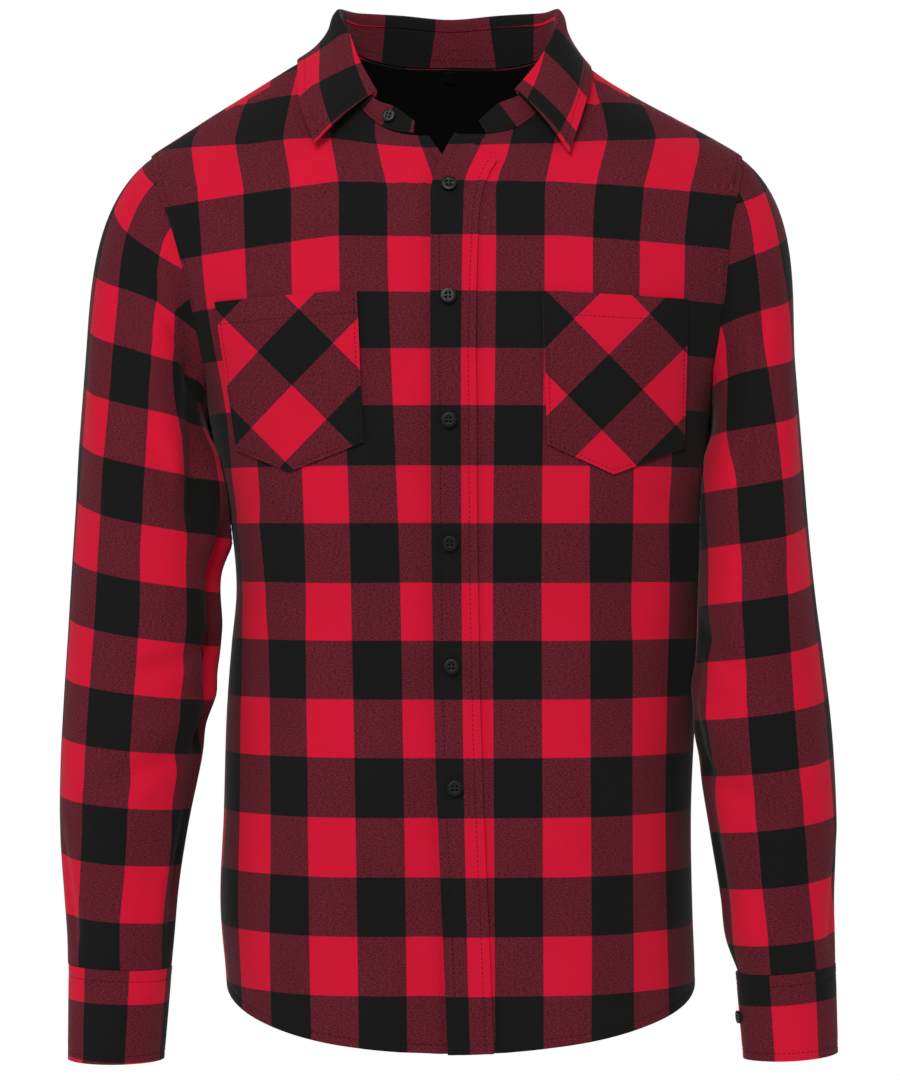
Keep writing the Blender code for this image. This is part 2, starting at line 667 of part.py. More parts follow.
def sleeve_push(name, along, turns):
    """How far a sleeve's folds push its cloth out."""
    girth = SLEEVE_GIRTH / 360.0
    length = SLEEVE_LENGTH
    push = np.zeros(np.broadcast(along, turns).shape)
    for row in SLEEVE_FOLDS[name]:
        fold = dict(zip(SLEEVE_FOLD_COLUMNS, row))
        middle = 0.5 * (fold["turn0"] + fold["turn1"])
        around = (turns - middle + 180.0) % 360.0 - 180.0
        start = (fold["along0"] * length / MM, (fold["turn0"] - middle) * girth / MM)
        end = (fold["along1"] * length / MM, (fold["turn1"] - middle) * girth / MM)
        line = (*start, *end, fold["width"])
        push += ridge(along * length / MM, around * girth / MM, *line) * fold["push"] * MM
    return push


def keep_clear(grid, clearance):
    """Moves a sleeve's points that lie past the armhole out of the body, sideways."""
    y, z = grid[..., 1], grid[..., 2]
    ring = body_ring(z)
    reach = np.where(y < ring["middle"], ARMHOLE_FRONT_REACH, ARMHOLE_BACK_REACH)
    past = ((y - ring["middle"]) / reach) ** 2 + ((z - ARMHOLE_MIDDLE) / ARMHOLE_RADIUS) ** 2 > 1.0
    half = np.where(grid[..., 0] < 0, ring["right"], ring["left"])
    depth = np.where(y > ring["middle"], ring["back"], ring["front"])
    share = np.clip(np.abs(y - ring["middle"]) / depth, 0.0, 1.0)
    needed = half * (1.0 - share ** ring["square"]) ** (1.0 / ring["square"]) + clearance
    across = np.where(past, np.maximum(np.abs(grid[..., 0]), needed), np.abs(grid[..., 0]))
    return np.stack([np.sign(grid[..., 0]) * across, y, z], axis=-1)


def sleeve_grid(name, side):
    """Points of a sleeve, a row for each section, from the cuff seam up to the armhole."""
    turns = loop_turns()
    body_turn, z = armhole(side, turns)
    loop = body_point(body_turn, z)
    angle = np.radians(turns)
    leave = np.stack(
        [
            side * (0.55 + 0.25 * np.cos(angle)),
            -0.12 * np.sin(angle),
            -0.80 + 0.22 * np.cos(angle),
        ],
        axis=-1,
    )
    start = loop + unit(unit(leave) + np.array([side, 0.0, 0.0])) * (SEAM_GAP + 0.1 * MM)
    table = SLEEVES[name][::-1]
    keys = column(table, SLEEVE_COLUMNS, "z")
    columns = [column(table, SLEEVE_COLUMNS, c) for c in SLEEVE_COLUMNS[1:]]
    levels = np.linspace(keys[-1], keys[0], SLEEVE_ROWS)
    sections = []
    for level in levels:
        row = [level] + [float(smooth(keys, values, level)) for values in columns]
        sections.append(section(row, side, turns))
    first, second = sections[0], sections[1]
    reach = np.linalg.norm(first - start, axis=-1, keepdims=True)
    arrive = unit(second - first)
    grid = []
    for t in np.linspace(0.0, 1.0, SLEEVE_CAP_ROWS + 1)[:-1]:
        point = (2 * t**3 - 3 * t**2 + 1) * start + (3 * t**2 - 2 * t**3) * first
        point = point + (t**3 - 2 * t**2 + t) * unit(leave) * reach * 1.1
        point = point + (t**3 - t**2) * arrive * reach * 0.9
        grid.append(point)
    grid = np.array(grid + sections)
    steps = np.linalg.norm(np.diff(grid, axis=0), axis=-1).mean(axis=1)
    along = np.concatenate([[0.0], np.cumsum(steps)]) / steps.sum()
    push = sleeve_push(name, along[:, None], turns[None, :])
    push *= ease(along / 0.12)[:, None] * ease((1.0 - along) / 0.05)[:, None]
    grid = grid[::-1, ::side]
    normals = grid_normals(grid, closed=True)
    grid = grid + normals * push[::-1, ::side][..., None]
    clearance = mix(SLEEVE_START_CLEAR, SLEEVE_CLEAR, ease(along / 0.04))[::-1, None]
    return keep_clear(grid, clearance), turns[::side]


def make_sleeves():
    """The sleeves, and on each the binding of the slit above the cuff."""
    for side, name in ((-1, "right"), (1, "left")):
        grid, turns = sleeve_grid(name, side)
        grid = trim(grid, "first_row", SEAM_GAP / 2)
        normals = grid_normals(grid, closed=True)
        add_cloth("sleeve_" + name, grid, normals, RED_CHECK, closed=True)
        slit = int(np.argmin(np.abs(turns + 130.0)))
        rows = slice(0, 5)
        strip = grid[rows, slit - 1:slit + 1]
        strip = trim(strip, "first_row", SEAM_GAP)
        lift = LAYER_GAP + POCKET_WALL
        add_cloth(
            "sleeve_placket_" + name,
            strip,
            normals[rows, slit - 1:slit + 1],
            DARK_RED,
            wall=POCKET_WALL,
            lift=lift,
        )


def make_cuffs():
    """The cuffs, each a band whose end laps over its start, and their buttons."""
    sweep = np.linspace(0.0, 360.0 + CUFF_LAP_TURN, CUFF_STEPS + 1)
    for side, name in ((-1, "right"), (1, "left")):
        top, bottom = [np.array(row) for row in CUFFS[name]]
        turns = CUFF_START_TURNS[name] + sweep
        rows = [section(mix(bottom, top, up), side, turns) for up in (0.0, 0.5, 1.0)]
        rising = (sweep - (360.0 - CUFF_RISE_TURN)) / CUFF_RISE_TURN
        lift = ((CUFF_WALL + LAP_GAP) * ease(rising))[::-side]
        grid = trim(np.array(rows)[:, ::-side], "last_row", SEAM_GAP / 2)
        normals = grid_normals(grid)
        add_cloth("cuff_" + name, grid, normals, RED_CHECK, wall=CUFF_WALL, lift=lift)
        spot = CUFF_BUTTON_COLUMN if side > 0 else CUFF_STEPS - CUFF_BUTTON_COLUMN
        place = grid[1, spot] + normals[1, spot] * (lift[spot] + LAYER_GAP)
        add_button("button_cuff_" + name, place, normals[1, spot], SMALL_BUTTON_SCALE)


def read_line(keys, points, turns):
    """A smooth curve through points, read at turns of its keys."""
    return np.stack([smooth(keys, points[:, i], turns) for i in range(3)], axis=-1)


def collar_line(name, turns):
    """The collar's fold or outer edge at turns round the neck."""
    points = [column(COLLAR, COLLAR_COLUMNS, name + axis) for axis in "xyz"]
    keys = column(COLLAR, COLLAR_COLUMNS, "turn")
    return read_line(keys, np.stack(points, axis=-1) * MM, turns)


def collar_frame(line):
    """Directions out and up, square to a line round the neck and to each other."""
    along = unit(np.gradient(line, axis=0))
    out = unit(np.stack([along[:, 1], -along[:, 0], np.zeros(len(line))], axis=-1))
    return out, np.cross(out, along)


def neck_point(turns):
    return body_point(*neckline(turns))


def stand_top(turns):
    """The stand's upper edge, from its left end to its right end."""
    keys = column(COLLAR, COLLAR_COLUMNS, "turn")
    fold = collar_line("fold_", keys)
    drop = column(COLLAR, COLLAR_COLUMNS, "drop")[:, None] * MM
    top = fold - unit(fold - neck_point(keys)) * drop
    axes = STAND_COLUMNS[1:]
    left, right = [
        np.stack([column(end, STAND_COLUMNS, axis) * MM for axis in axes], axis=-1)
        for end in (STAND_LEFT_END, STAND_RIGHT_END)
    ]
    first = column(STAND_LEFT_END, STAND_COLUMNS, "turn")
    last = column(STAND_RIGHT_END, STAND_COLUMNS, "turn")
    points = np.concatenate([left, top, right])
    return read_line(np.concatenate([first, keys, last]), points, turns)


def stand_turns():
    """Turns round the neck at which the pieces on the neckline have their points."""
    left, right = front_neck_turns(1), front_neck_turns(-1)
    turns = np.concatenate([left[:-1], yoke_neck_turns(), right[-2::-1] + 360.0])
    ends = [STAND_LEFT_END[0][0], COLLAR[0][0], COLLAR[-1][0], STAND_RIGHT_END[-1][0]]
    apart = np.abs(turns[:, None] - np.array(ends)[None, :]).min(axis=1)
    inside = turns[(apart > 4.0) & (turns > ends[0]) & (turns < ends[-1])]
    return np.sort(np.concatenate([inside, ends]))


def make_stand():
    """The stand on the neckline, and its button, left open."""
    turns = stand_turns()
    seam, top = neck_point(turns), stand_top(turns)
    bottom = seam + (unit(top - seam) + body_normal(*neckline(turns))) * STAND_GAP
    grid = np.array([bottom, top])
    normals = grid_normals(grid)
    add_cloth("collar_stand", grid, normals, RED_CHECK, wall=STAND_WALL)
    spot = int(np.argmin(np.abs(turns - STAND_BUTTON_TURN)))
    place = mix(bottom[spot], top[spot], 0.5) + normals[0, spot] * LAP_GAP
    add_button("button_stand", place, normals[0, spot], SMALL_BUTTON_SCALE)


def make_leaf():
    """The leaf: a short inner leg above the stand, the fold, and the leaf turned down."""
    first, last = COLLAR[0][0], COLLAR[-1][0]
    turns = stand_turns()
    turns = turns[(turns >= first) & (turns <= last)]
    fold, rim, top = collar_line("fold_", turns), collar_line("edge_", turns), stand_top(turns)
    out, up = collar_frame(fold)
    leg = unit(fold - top)
    face = unit(np.cross(np.gradient(top, axis=0), leg))
    start = fold - up * LEAF_CREST + out * LEAF_SPREAD
    keys = column(COLLAR, COLLAR_COLUMNS, "turn")
    bulge = smooth(keys, column(COLLAR, COLLAR_COLUMNS, "bulge"), turns)[:, None] * MM
    rows = [
        top + leg * LEG_GAP - face * STAND_WALL,
        fold - leg * LEAF_CREST - face * STAND_WALL,
        fold + out * 0.25 * LEAF_SPREAD,
    ]
    for share in LEAF_SHARES:
        swell = 4.0 * share * (1.0 - share) * bulge
        rows.append(mix(start, rim, share) + (out + 0.6 * up) * swell)
    leaf = np.array(rows)[::-1]
    add_cloth("collar_leaf", leaf, grid_normals(leaf), RED_CHECK, wall=LEAF_WALL)


def make_pockets():
    """Patch pockets, each laid on its front, with a pointed bottom edge."""
    for side, name in ((-1, "right"), (1, "left")):
        rows = [dict(zip(POCKET_COLUMNS, row)) for row in POCKETS[name]]
        corners = {row["corner"]: np.array([row["x"], row["z"]]) * MM for row in rows}
        begin, finish = ("side", "middle") if side < 0 else ("middle", "side")
        shares = np.linspace(0.0, 1.0, POCKET_STEPS + 1)
        top = mix(corners["top_" + begin], corners["top_" + finish], shares[:, None])
        keys = np.array([0.0, 0.5, 1.0])
        ends = np.stack([corners["bottom_" + begin], corners["point"], corners["bottom_" + finish]])
        bottom = np.stack([np.interp(shares, keys, ends[:, i]) for i in range(2)], axis=-1)
        flat = mix(bottom[None], top[None], shares[:, None, None])
        turns = turn_at_x(flat[..., 0], flat[..., 1])
        points = body_point(turns, flat[..., 1])
        normals = body_normal(turns, flat[..., 1])
        lift = POCKET_GAP + POCKET_WALL
        add_cloth("pocket_" + name, points, normals, DARK_RED, wall=POCKET_WALL, lift=lift)


def add_button(name, place, normal, scale=1.0):
    """A turned button whose underside rests at place, facing along normal."""
    profile = bmesh.new()
    corners = [
        profile.verts.new((r * BUTTON_RADIUS * scale, 0.0, h * BUTTON_HEIGHT * scale))
        for r, h in BUTTON_PROFILE
    ]
    edges = [profile.edges.new(pair) for pair in zip(corners, corners[1:])]
    bmesh.ops.spin(
        profile,
        geom=corners + edges,
        cent=(0.0, 0.0, 0.0),
        axis=(0.0, 0.0, 1.0),
        angle=math.tau,
        steps=BUTTON_SIDES,
        use_merge=False,
    )
    bmesh.ops.remove_doubles(profile, verts=profile.verts, dist=1e-6)
    bmesh.ops.recalc_face_normals(profile, faces=profile.faces)
    mesh = bpy.data.meshes.new(name)
    profile.to_mesh(mesh)
    profile.free()
    mesh.shade_smooth()
    mesh.set_sharp_from_angle(angle=math.radians(35))
    thing = add_object(name, mesh, BUTTON_BLACK, 0.35)
    turn = Vector((0.0, 0.0, 1.0)).rotation_difference(Vector(normal))
    thing.matrix_world = Matrix.Translation(Vector(place)) @ turn.to_matrix().to_4x4()
    return thing


def make_front_buttons():
    for number, level in enumerate(BUTTON_LEVELS, start=1):
        z = level * MM
        x = float(read(EDGES, EDGE_COLUMNS, "z", "left_front", z)) + BUTTON_EDGE_DISTANCE
        turn = turn_at_x(x, z)
        normal = body_normal(turn, z)
        lift = LAYER_GAP * 0.75 + WALL + LAYER_GAP
        add_button("button_%d" % number, body_point(turn, z) + normal * lift, normal)


def make_neck_loop():
    """A small folded loop that hangs inside the back neck, under the stand."""
    turns, levels = np.meshgrid([177.7, 180.0, 182.3], [0.0055, 0.0095, 0.0135])
    lift = -(2 * WALL + SEAM_GAP + LAYER_GAP)
    points = body_point(turns, levels)
    normals = body_normal(turns, levels)
    add_cloth("neck_loop", points, normals, BLACK_CLOTH, wall=1.0 * MM, lift=lift)


def main():
    clear_scene()
    make_fronts()
    make_back()
    make_yokes()
    make_stand()
    make_leaf()
    make_sleeves()
    make_cuffs()
    make_pockets()
    make_front_buttons()
    make_neck_loop()


main()
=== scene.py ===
"""Long-sleeved flannel shirt in a red and black check, dressed on its fixed frame.

Metres, +Z up. The front faces -Y and +X is the wearer's left. Tables are in millimetres
and degrees, as the maker's sizes are, and are turned into metres where they are read.
"""

import logging
import math
from collections.abc import Callable
from dataclasses import dataclass, field
from enum import Enum

import bpy
import numpy as np
from mathutils import Matrix, Vector


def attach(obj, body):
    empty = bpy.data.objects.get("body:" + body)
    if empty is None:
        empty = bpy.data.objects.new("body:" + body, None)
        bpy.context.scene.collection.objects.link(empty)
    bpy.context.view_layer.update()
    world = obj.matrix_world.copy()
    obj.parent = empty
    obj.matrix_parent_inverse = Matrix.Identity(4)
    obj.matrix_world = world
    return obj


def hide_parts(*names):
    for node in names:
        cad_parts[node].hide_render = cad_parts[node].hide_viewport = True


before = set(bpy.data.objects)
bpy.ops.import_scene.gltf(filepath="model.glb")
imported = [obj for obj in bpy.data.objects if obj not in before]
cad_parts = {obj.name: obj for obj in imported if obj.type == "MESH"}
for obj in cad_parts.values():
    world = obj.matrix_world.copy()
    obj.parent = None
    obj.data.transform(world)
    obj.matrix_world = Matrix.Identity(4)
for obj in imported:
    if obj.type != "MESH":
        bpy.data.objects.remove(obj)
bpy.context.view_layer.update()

LOG = logging.getLogger("flannel_shirt")
MM = 0.001
Array = np.ndarray
Socket = bpy.types.NodeSocket
SIDES = {-1: "right", 1: "left"}


# ---------------------------------------------------------------- sizes of the form

@dataclass(frozen=True)
class Table:
    """Rows of sizes under named columns. The first column ascends where it is read by."""

    names: str
    rows: tuple

    def column(self, name: str) -> Array:
        """One column's numbers, as they stand in the table."""
        return np.array([row[self.names.split().index(name)] for row in self.rows], dtype=float)

    def at(self, name: str, x: Array) -> Array:
        """Reads a column smoothly at x of the first column, both as they stand."""
        return smooth(self.column(self.names.split()[0]), self.column(name), x)

    def read(self, name: str, x: Array) -> Array:
        """Reads a column of millimetres at x metres of the first column, in metres."""
        return self.at(name, np.asarray(x) / MM) * MM


BODY = Table("z right left front back middle square", (
    (-800, 172, 190, 113, 118, 12, 2.5), (-697, 173.5, 190, 117, 121, 12, 2.5),
    (-642, 178, 188, 117.5, 120, 12, 2.5), (-569, 175.5, 187, 117, 116, 12, 2.5),
    (-482, 172.8, 191, 114.5, 109, 12, 2.5), (-439, 169.7, 193.5, 113.5, 107, 12, 2.5),
    (-395, 166, 195.5, 114.5, 107.5, 12, 2.5), (-345, 170.5, 197.5, 118, 111, 12, 2.5),
    (-312, 177, 199, 120, 115, 12, 2.45), (-270, 185.5, 201, 121.5, 119.5, 10, 2.45),
    (-240, 194, 208, 122, 122.5, 6, 2.4), (-200, 211.5, 225, 120, 124.5, 2, 2.4),
    (-165, 229, 240, 115.5, 124.5, 0, 2.35), (-120, 246, 248, 105, 120, 0, 2.25),
    (-90, 250.5, 247.5, 94, 112, 0, 2.15), (-75, 243.5, 240, 87.5, 107, 0, 2.1),
    (-60, 230, 224.5, 79, 100.5, 0, 2.05), (-50, 215, 208, 73, 95.5, 0, 2),
    (-40, 199.5, 190, 68, 90, 0, 2), (-30, 184, 171, 62.5, 83.5, 0, 2),
    (-20, 168, 152, 57, 77, 0, 2), (-10, 152, 134.5, 51.5, 70.5, 0, 2),
    (0, 136, 118.5, 46, 64, 0, 2), (13, 114, 101, 38.5, 56, 0, 2), (20, 99, 91, 34.5, 51, 0, 2),
    (26, 83, 83, 31, 45.5, 0, 2), (36, 58, 60, 24, 36, 0, 2),
))
# Free edge of each front, from the hem to the neckline, and how wide its band is
EDGES = Table("z right left band", (
    (-760, 26, -0.5, 34), (-740, 25.5, -1.5, 34), (-652, 24, -5.2, 34), (-523, 20.5, -10.4, 34),
    (-270, 18.5, -14.3, 34), (-118, 18, -14.3, 34), (-92, 8, -13.9, 34), (-68, -5.4, -5.2, 28.5),
    (-49, -17.8, 4.6, 24.5), (-40, -23, 9, 23),
))
# Folds and creases: a line from (x0, z0) to (x1, z1) on the front (-1) or back (1) face,
# its half width, and how far it pushes the cloth out
BODY_FOLDS = Table("face x0 z0 x1 z1 width push", (
    (-1, -150, -318, -120, -420, 20, -3), (-1, 168, -322, 128, -430, 20, -3),
    (-1, -24, -430, -20, -770, 12, -3), (-1, -88, -360, -96, -740, 34, 4),
    (-1, 96, -380, 104, -720, 32, 3.5), (-1, -146, -400, -132, -640, 18, -2.5),
    (-1, 158, -420, 146, -700, 18, -2.5), (1, -150, -210, -60, -420, 22, -3.5),
    (1, 154, -200, 70, -400, 22, -3), (1, -88, -330, -104, -740, 36, 4.5),
    (1, 84, -340, 108, -740, 36, 4), (1, -4, -300, 8, -740, 26, -4), (-1, 28, -62, 44, -96, 5, 1.6),
    (-1, -52, -330, -38, -480, 9, -0.9), (-1, 62, -350, 50, -520, 9, -0.9),
    (-1, -112, -560, -120, -700, 9, 1), (-1, 126, -540, 138, -690, 10, 1),
    (-1, -60, -600, -70, -735, 8, -0.9), (-1, 66, -590, 76, -735, 8, -0.9),
    (1, -40, -140, -96, -250, 9, 1.4), (1, 44, -150, 92, -270, 9, 1.3),
    (1, -120, -420, -96, -560, 10, -1.3), (1, 126, -440, 92, -600, 10, -1.3),
    (1, 40, -560, 52, -740, 9, 1.2), (1, -44, -600, -36, -745, 9, 1.1),
))
# Creases at the sleeves' caps, seen from the front
CAP_CREASES = Table("x0 z0 x1 z1 width push", (
    (-228, -152, -202, -216, 5, -4), (-221, -150, -196, -214, 7, 5),
    (-198, -186, -189, -240, 9, -12), (-189, -232, -188, -345, 10, -18),
    (215, -158, 206, -198, 6, 3), (202, -150, 200, -215, 5, -8), (209, -200, 218, -300, 8, -3),
    (219, -300, 226, -470, 9, -4),
))
# Sleeves: their sections; their folds, where along runs from 0 at the armhole to 1 at the
# cuff and turn goes round; the line and the tilt that the check follows; and their cuffs
SECTION = "z outer inner rise deep half_depth press"
SLEEVE_FOLD = "along0 turn0 along1 turn1 width push"
ARMS = {
    "right": dict(
        sections=Table(SECTION, (
            (-680, 290, 211.5, 3, -54, 39, 0), (-660, 290.5, 209.5, 0, -53, 41, 0),
            (-626, 293, 206.5, -4, -51, 44, 0), (-579, 296.5, 199.5, -5, -48, 48, 0),
            (-526, 296.5, 189, -3, -45, 52, 0), (-480, 294.5, 181.5, 0, -41, 55, 0),
            (-429, 291.5, 174, 6, -37, 57, 0), (-373, 288.6, 174.5, 18, -29, 59, 0),
            (-345, 286.9, 169.4, 30, -24, 61, 3), (-318, 285.8, 171, 44, -18, 64, 8),
            (-258, 280.9, 173.5, 84, -8, 68, 3),
        )),
        folds=Table(SLEEVE_FOLD, (
            (0.1, 60, 0.34, 120, 12, -4), (0.16, 35, 0.46, 80, 16, 3),
            (0.52, 175, 0.58, 90, 12, -4), (0.6, 190, 0.66, 110, 13, 3.5),
            (0.66, 185, 0.74, 70, 12, -3.5), (0.8, 20, 0.97, 40, 10, -2.5),
            (0.78, 150, 0.97, 130, 11, 2.5), (0.3, -60, 0.6, -120, 18, -4),
            (0.3, 160, 0.62, 164, 11, -9), (0.55, 165, 0.95, 160, 10, -3),
            (0.4, 60, 0.52, 100, 8, -1.2), (0.7, 30, 0.8, 75, 8, 1.3),
            (0.2, -70, 0.36, -120, 9, 1.8), (0.44, -60, 0.54, -130, 9, -1.8),
            (0.66, -50, 0.78, -120, 9, 1.6),
        )),
        check_lines=Table("z x", (
            (-673, -279.4), (-631, -278.7), (-590, -276.4), (-545, -275), (-500, -272.7),
            (-455, -269.7), (-410, -266.7), (-369, -265), (-339, -263.7), (-296, -261.3),
            (-253, -257.6), (-211, -254.8), (-169, -251), (-124.5, -246.4), (-113, -242.6),
            (-98, -234), (-86, -224.6),
        )),
        check_tilt=Table("z tilt narrow crowd", (
            (-700, 3, 1, 0), (-550, 5, 1, 0), (-381, 10, 1, 0), (-294, 12, 1.04, 0.1),
            (-259, 12, 1.04, 0.6), (-218, 13, 0.92, 1), (-185, 13.5, 0.87, 1),
            (-160, 14, 0.83, 0.3), (-125, 33, 0.95, 0), (-50, 34, 1, 0),
        )),
        cuff_top=(-680.4, 289.5, 211, 3, -54, 39, 0),
        cuff_bottom=(-751, 290, 216.8, 0, -55, 37, 0),
        cuff_start=235,
        row_start=6.5 * MM,
        cuff_columns=26 * MM,
        cuff_rows=69 * MM,
    ),
    "left": dict(
        sections=Table(SECTION, (
            (-682, 292, 218.5, 7, -58, 39, 0), (-660, 291.8, 209.5, 3, -57, 41, 0),
            (-631, 291.5, 205.5, -2, -56, 44, 0), (-586, 293.5, 198, -5, -54, 48, 0),
            (-540, 292.5, 190.5, -5, -53, 52, 0), (-495, 289.5, 184.8, -3, -51, 56, 0),
            (-449, 284.2, 187.2, 0, -48, 59, 0), (-404, 278.5, 189, 4, -42, 62, 0),
            (-358, 274, 191, 14, -33, 65, 1), (-312, 270.5, 192.8, 36, -22, 67, 4),
            (-262, 266, 194.5, 78, -10, 69, 4),
        )),
        folds=Table(SLEEVE_FOLD, (
            (0.08, 70, 0.3, 110, 11, -3.5), (0.14, 40, 0.44, 70, 16, 3),
            (0.5, 170, 0.6, 95, 12, -3.5), (0.58, 185, 0.68, 120, 13, 3),
            (0.7, 180, 0.78, 80, 12, -3.5), (0.82, 10, 0.97, 30, 10, -2.5),
            (0.78, 140, 0.97, 120, 11, 2.5), (0.34, -50, 0.62, -130, 18, -4),
            (0.55, 165, 0.95, 160, 10, -3), (0.4, 50, 0.5, 95, 8, -1.2),
            (0.68, 40, 0.78, 80, 8, 1.3), (0.18, -60, 0.34, -125, 9, 1.8),
            (0.46, -50, 0.55, -120, 9, -1.8), (0.7, -60, 0.8, -130, 9, 1.6),
        )),
        check_lines=Table("z x", (
            (-661, 273.9), (-618, 268.4), (-577.5, 265.4), (-534, 261.1), (-491, 257.5),
            (-447, 254.4), (-404, 252.6), (-362, 251.5), (-311, 249.5), (-275, 246.4),
            (-234, 240.4), (-211, 237.3), (-192, 234.8), (-177, 234.3), (-148, 231.7),
            (-131, 229.7), (-120, 226.9), (-108, 221.6),
        )),
        check_tilt=Table("z tilt narrow crowd", (
            (-700, 5, 1, 0), (-550, 7, 1, 0), (-381, 9, 1, 0), (-280, 10, 0.9, 0),
            (-235, 10, 0.84, 0), (-196, 11, 0.74, 0), (-165, 15, 0.74, 0), (-140, 18, 0.85, 0),
            (-50, 17, 1, 0),
        )),
        cuff_top=(-682.4, 292.4, 219.5, 7, -58, 39, 0),
        cuff_bottom=(-747.5, 294, 225, 5, -59, 37, 0),
        cuff_start=172,
        row_start=21.1 * MM,
        cuff_columns=54 * MM,
        cuff_rows=23.2 * MM,
    ),
}
COLLAR = Table("turn fold_x fold_y fold_z drop edge_x edge_y edge_z bulge", (
    (44, 48.6, -60, -16, 6, 89.9, -85, -66.3, 3), (61, 65, -46, 5, 8, 104, -54, -22.5, 3),
    (77, 77.5, -27, 28, 9, 109, -24, 2, 1), (95, 83.8, -2, 50.4, 10, 105, 6, 13, -2),
    (127, 70, 34, 55.5, 11, 83, 50, 11.5, 1), (153, 38, 53, 56.5, 11, 45, 63.5, 8.5, 3),
    (180, 0, 58, 54, 11, 0, 68.5, 6.5, 3), (207, -38, 53, 56.5, 11, -45, 63.5, 8.5, 3),
    (233, -70, 34, 55.5, 11, -84, 50, 12, 0), (265, -86.1, -2, 51.2, 10, -117, 6, 16.5, -4),
    (283, -77.8, -27, 33.5, 9, -117, -28, 2, -2), (299, -68.1, -46, 7.7, 8, -114, -58, -27, 2),
    (316, -54.7, -60, -17.5, 6, -102.2, -84, -59.5, 3),
))
STAND_ENDS = Table("turn top_x top_y top_z", (
    (10, 22, -72.5, -41), (26, 36, -68, -28.5), (334, -40.9, -68, -31), (350, -27, -73.5, -42),
))
# Check across the collar: where the fold's red strip ends, and where its rows fall
COLLAR_CHECK = Table("turn strip stretch row_fold row_edge", (
    (10, 9, 1, -60, -50), (44, 12.5, 0.9, 5, -9), (50, 10, 0.94, 43.5, 44), (62, 4, 1.04, 72, 89),
    (68.5, 0.5, 1.08, 87, 106), (79, -3, 1.06, 124, 126), (95, -6, 1, 140, 142),
    (130, -9.5, 1, 174, 174), (158, -11, 1, 217.5, 217.5), (188, -11.5, 1, 261, 261),
    (217, -11, 1, 304.5, 304.5), (252, -9, 1.05, 348, 350), (276, -4, 1.16, 379, 391.5),
    (285, -0.5, 1.18, 391.5, 411), (300.5, 5, 1.05, 435, 445), (316, 7.5, 0.9, 478.5, 480),
    (350, 8, 1, 570, 570),
))
# Corners of the pockets, each (x, z), and the middle of their black diamond
POCKETS = {
    "right": {
        "top_side": (-176, -179), "top_middle": (-69, -172.5), "bottom_middle": (-64, -285.5),
        "point": (-119.5, -307), "bottom_side": (-160, -290), "diamond": (-114.5, -214.5),
    },
    "left": {
        "top_side": (178, -177.5), "top_middle": (68.3, -173.3), "bottom_middle": (72, -287),
        "point": (121.5, -309), "bottom_side": (176, -288.5), "diamond": (115, -248),
    },
}
# Check: woven size of one square, and where its lines fall on the body
COLUMN = 36.3 * MM
ROW = 43.5 * MM
ROW_LEVELS = (-740.4, -696.7, -652.6, -608.5, -564.4, -519.9, -476.6, -432.9, -389.9, -345.4,
              -302.8, -258, -215.8, -173.2, -131.1, -89.1, -49.2)
FIRST_ROW = -14
# How far the cloth has slid out over the right side's fold, at each height
SIDE_SLACK = ((-470, -436, -413, -373, -345, -328, -305, -265),
              (0.0, 1.5, 6.0, 9.4, 11.5, 8.0, 5.0, 0.0))
# How far the check's columns lean out above the chest, at each x in metres
LEAN = ((-0.19, -0.12, 0.06, 0.12, 0.19), (0.06, 0.0, 0.0, 0.08, 0.135))
# Cloth above the chest, in lengths of its height as laid: at each x, how much is taken up
FULLNESS = Table("x full", (
    (-250, 0.96), (-190, 0.97), (-110, 1), (-88, 1.1), (-60, 1.28), (60, 1.28), (97, 1.17),
    (130, 1.02), (175, 0.86), (250, 0.84),
))
CHECK_LINES = Table("z right left placket", (
    (-760, -31.5, 33.6, 15.5), (-710, -31.9, 33.4, 14), (-370, -37.9, 31.9, 8.5),
    (-110, -46.9, 34.3, 10), (-92, -46.9, 34.3, 10.6), (-60, -46.9, 34.3, 24),
    (-40, -46.9, 34.3, 33),
))


# ---------------------------------------------------------------- small mathematics

def mix(a: Array, b: Array, t: Array) -> Array:
    """Goes from a to b as t goes from 0 to 1."""
    return a + (b - a) * t


def ease(t: Array) -> Array:
    """Goes softly from 0 to 1 as t does, and stays there beyond."""
    t = np.clip(t, 0.0, 1.0)
    return t * t * (3.0 - 2.0 * t)


def waves(turn: Array) -> tuple:
    """Sine and cosine of a turn in degrees."""
    return np.sin(np.radians(turn)), np.cos(np.radians(turn))


def bow(wave: Array, power: Array) -> Array:
    """A sine or cosine bent toward a squarer outline, its sign kept."""
    return np.sign(wave) * np.abs(wave) ** power


def unit(vectors: Array) -> Array:
    """Vectors of length one in the same directions."""
    return vectors / np.maximum(np.linalg.norm(vectors, axis=-1, keepdims=True), 1e-12)


def hermite(t: Array, ends: tuple, ways: tuple) -> Array:
    """A cubic from one end to the other that leaves and arrives by its two ways."""
    leave = (2 * t**3 - 3 * t**2 + 1) * ends[0] + (t**3 - 2 * t**2 + t) * ways[0]
    return leave + (3 * t**2 - 2 * t**3) * ends[1] + (t**3 - t**2) * ways[1]


def smooth(xs: Array, ys: Array, x: Array) -> Array:
    """Reads at x a cubic curve through the points (xs, ys), xs ascending.

    Args:
        xs, ys: the points that the curve goes through.
        x: where it is read.

    Returns:
        The curve's value at each x.
    """
    x = np.clip(x, xs[0], xs[-1])
    slopes = np.gradient(ys, xs)
    i = np.clip(np.searchsorted(xs, x, side="right") - 1, 0, len(xs) - 2)
    span = xs[i + 1] - xs[i]
    return hermite((x - xs[i]) / span, (ys[i], ys[i + 1]), (span * slopes[i], span * slopes[i + 1]))


def even(count: int) -> Array:
    """Even steps from 0 to 1."""
    return np.linspace(0.0, 1.0, count + 1)


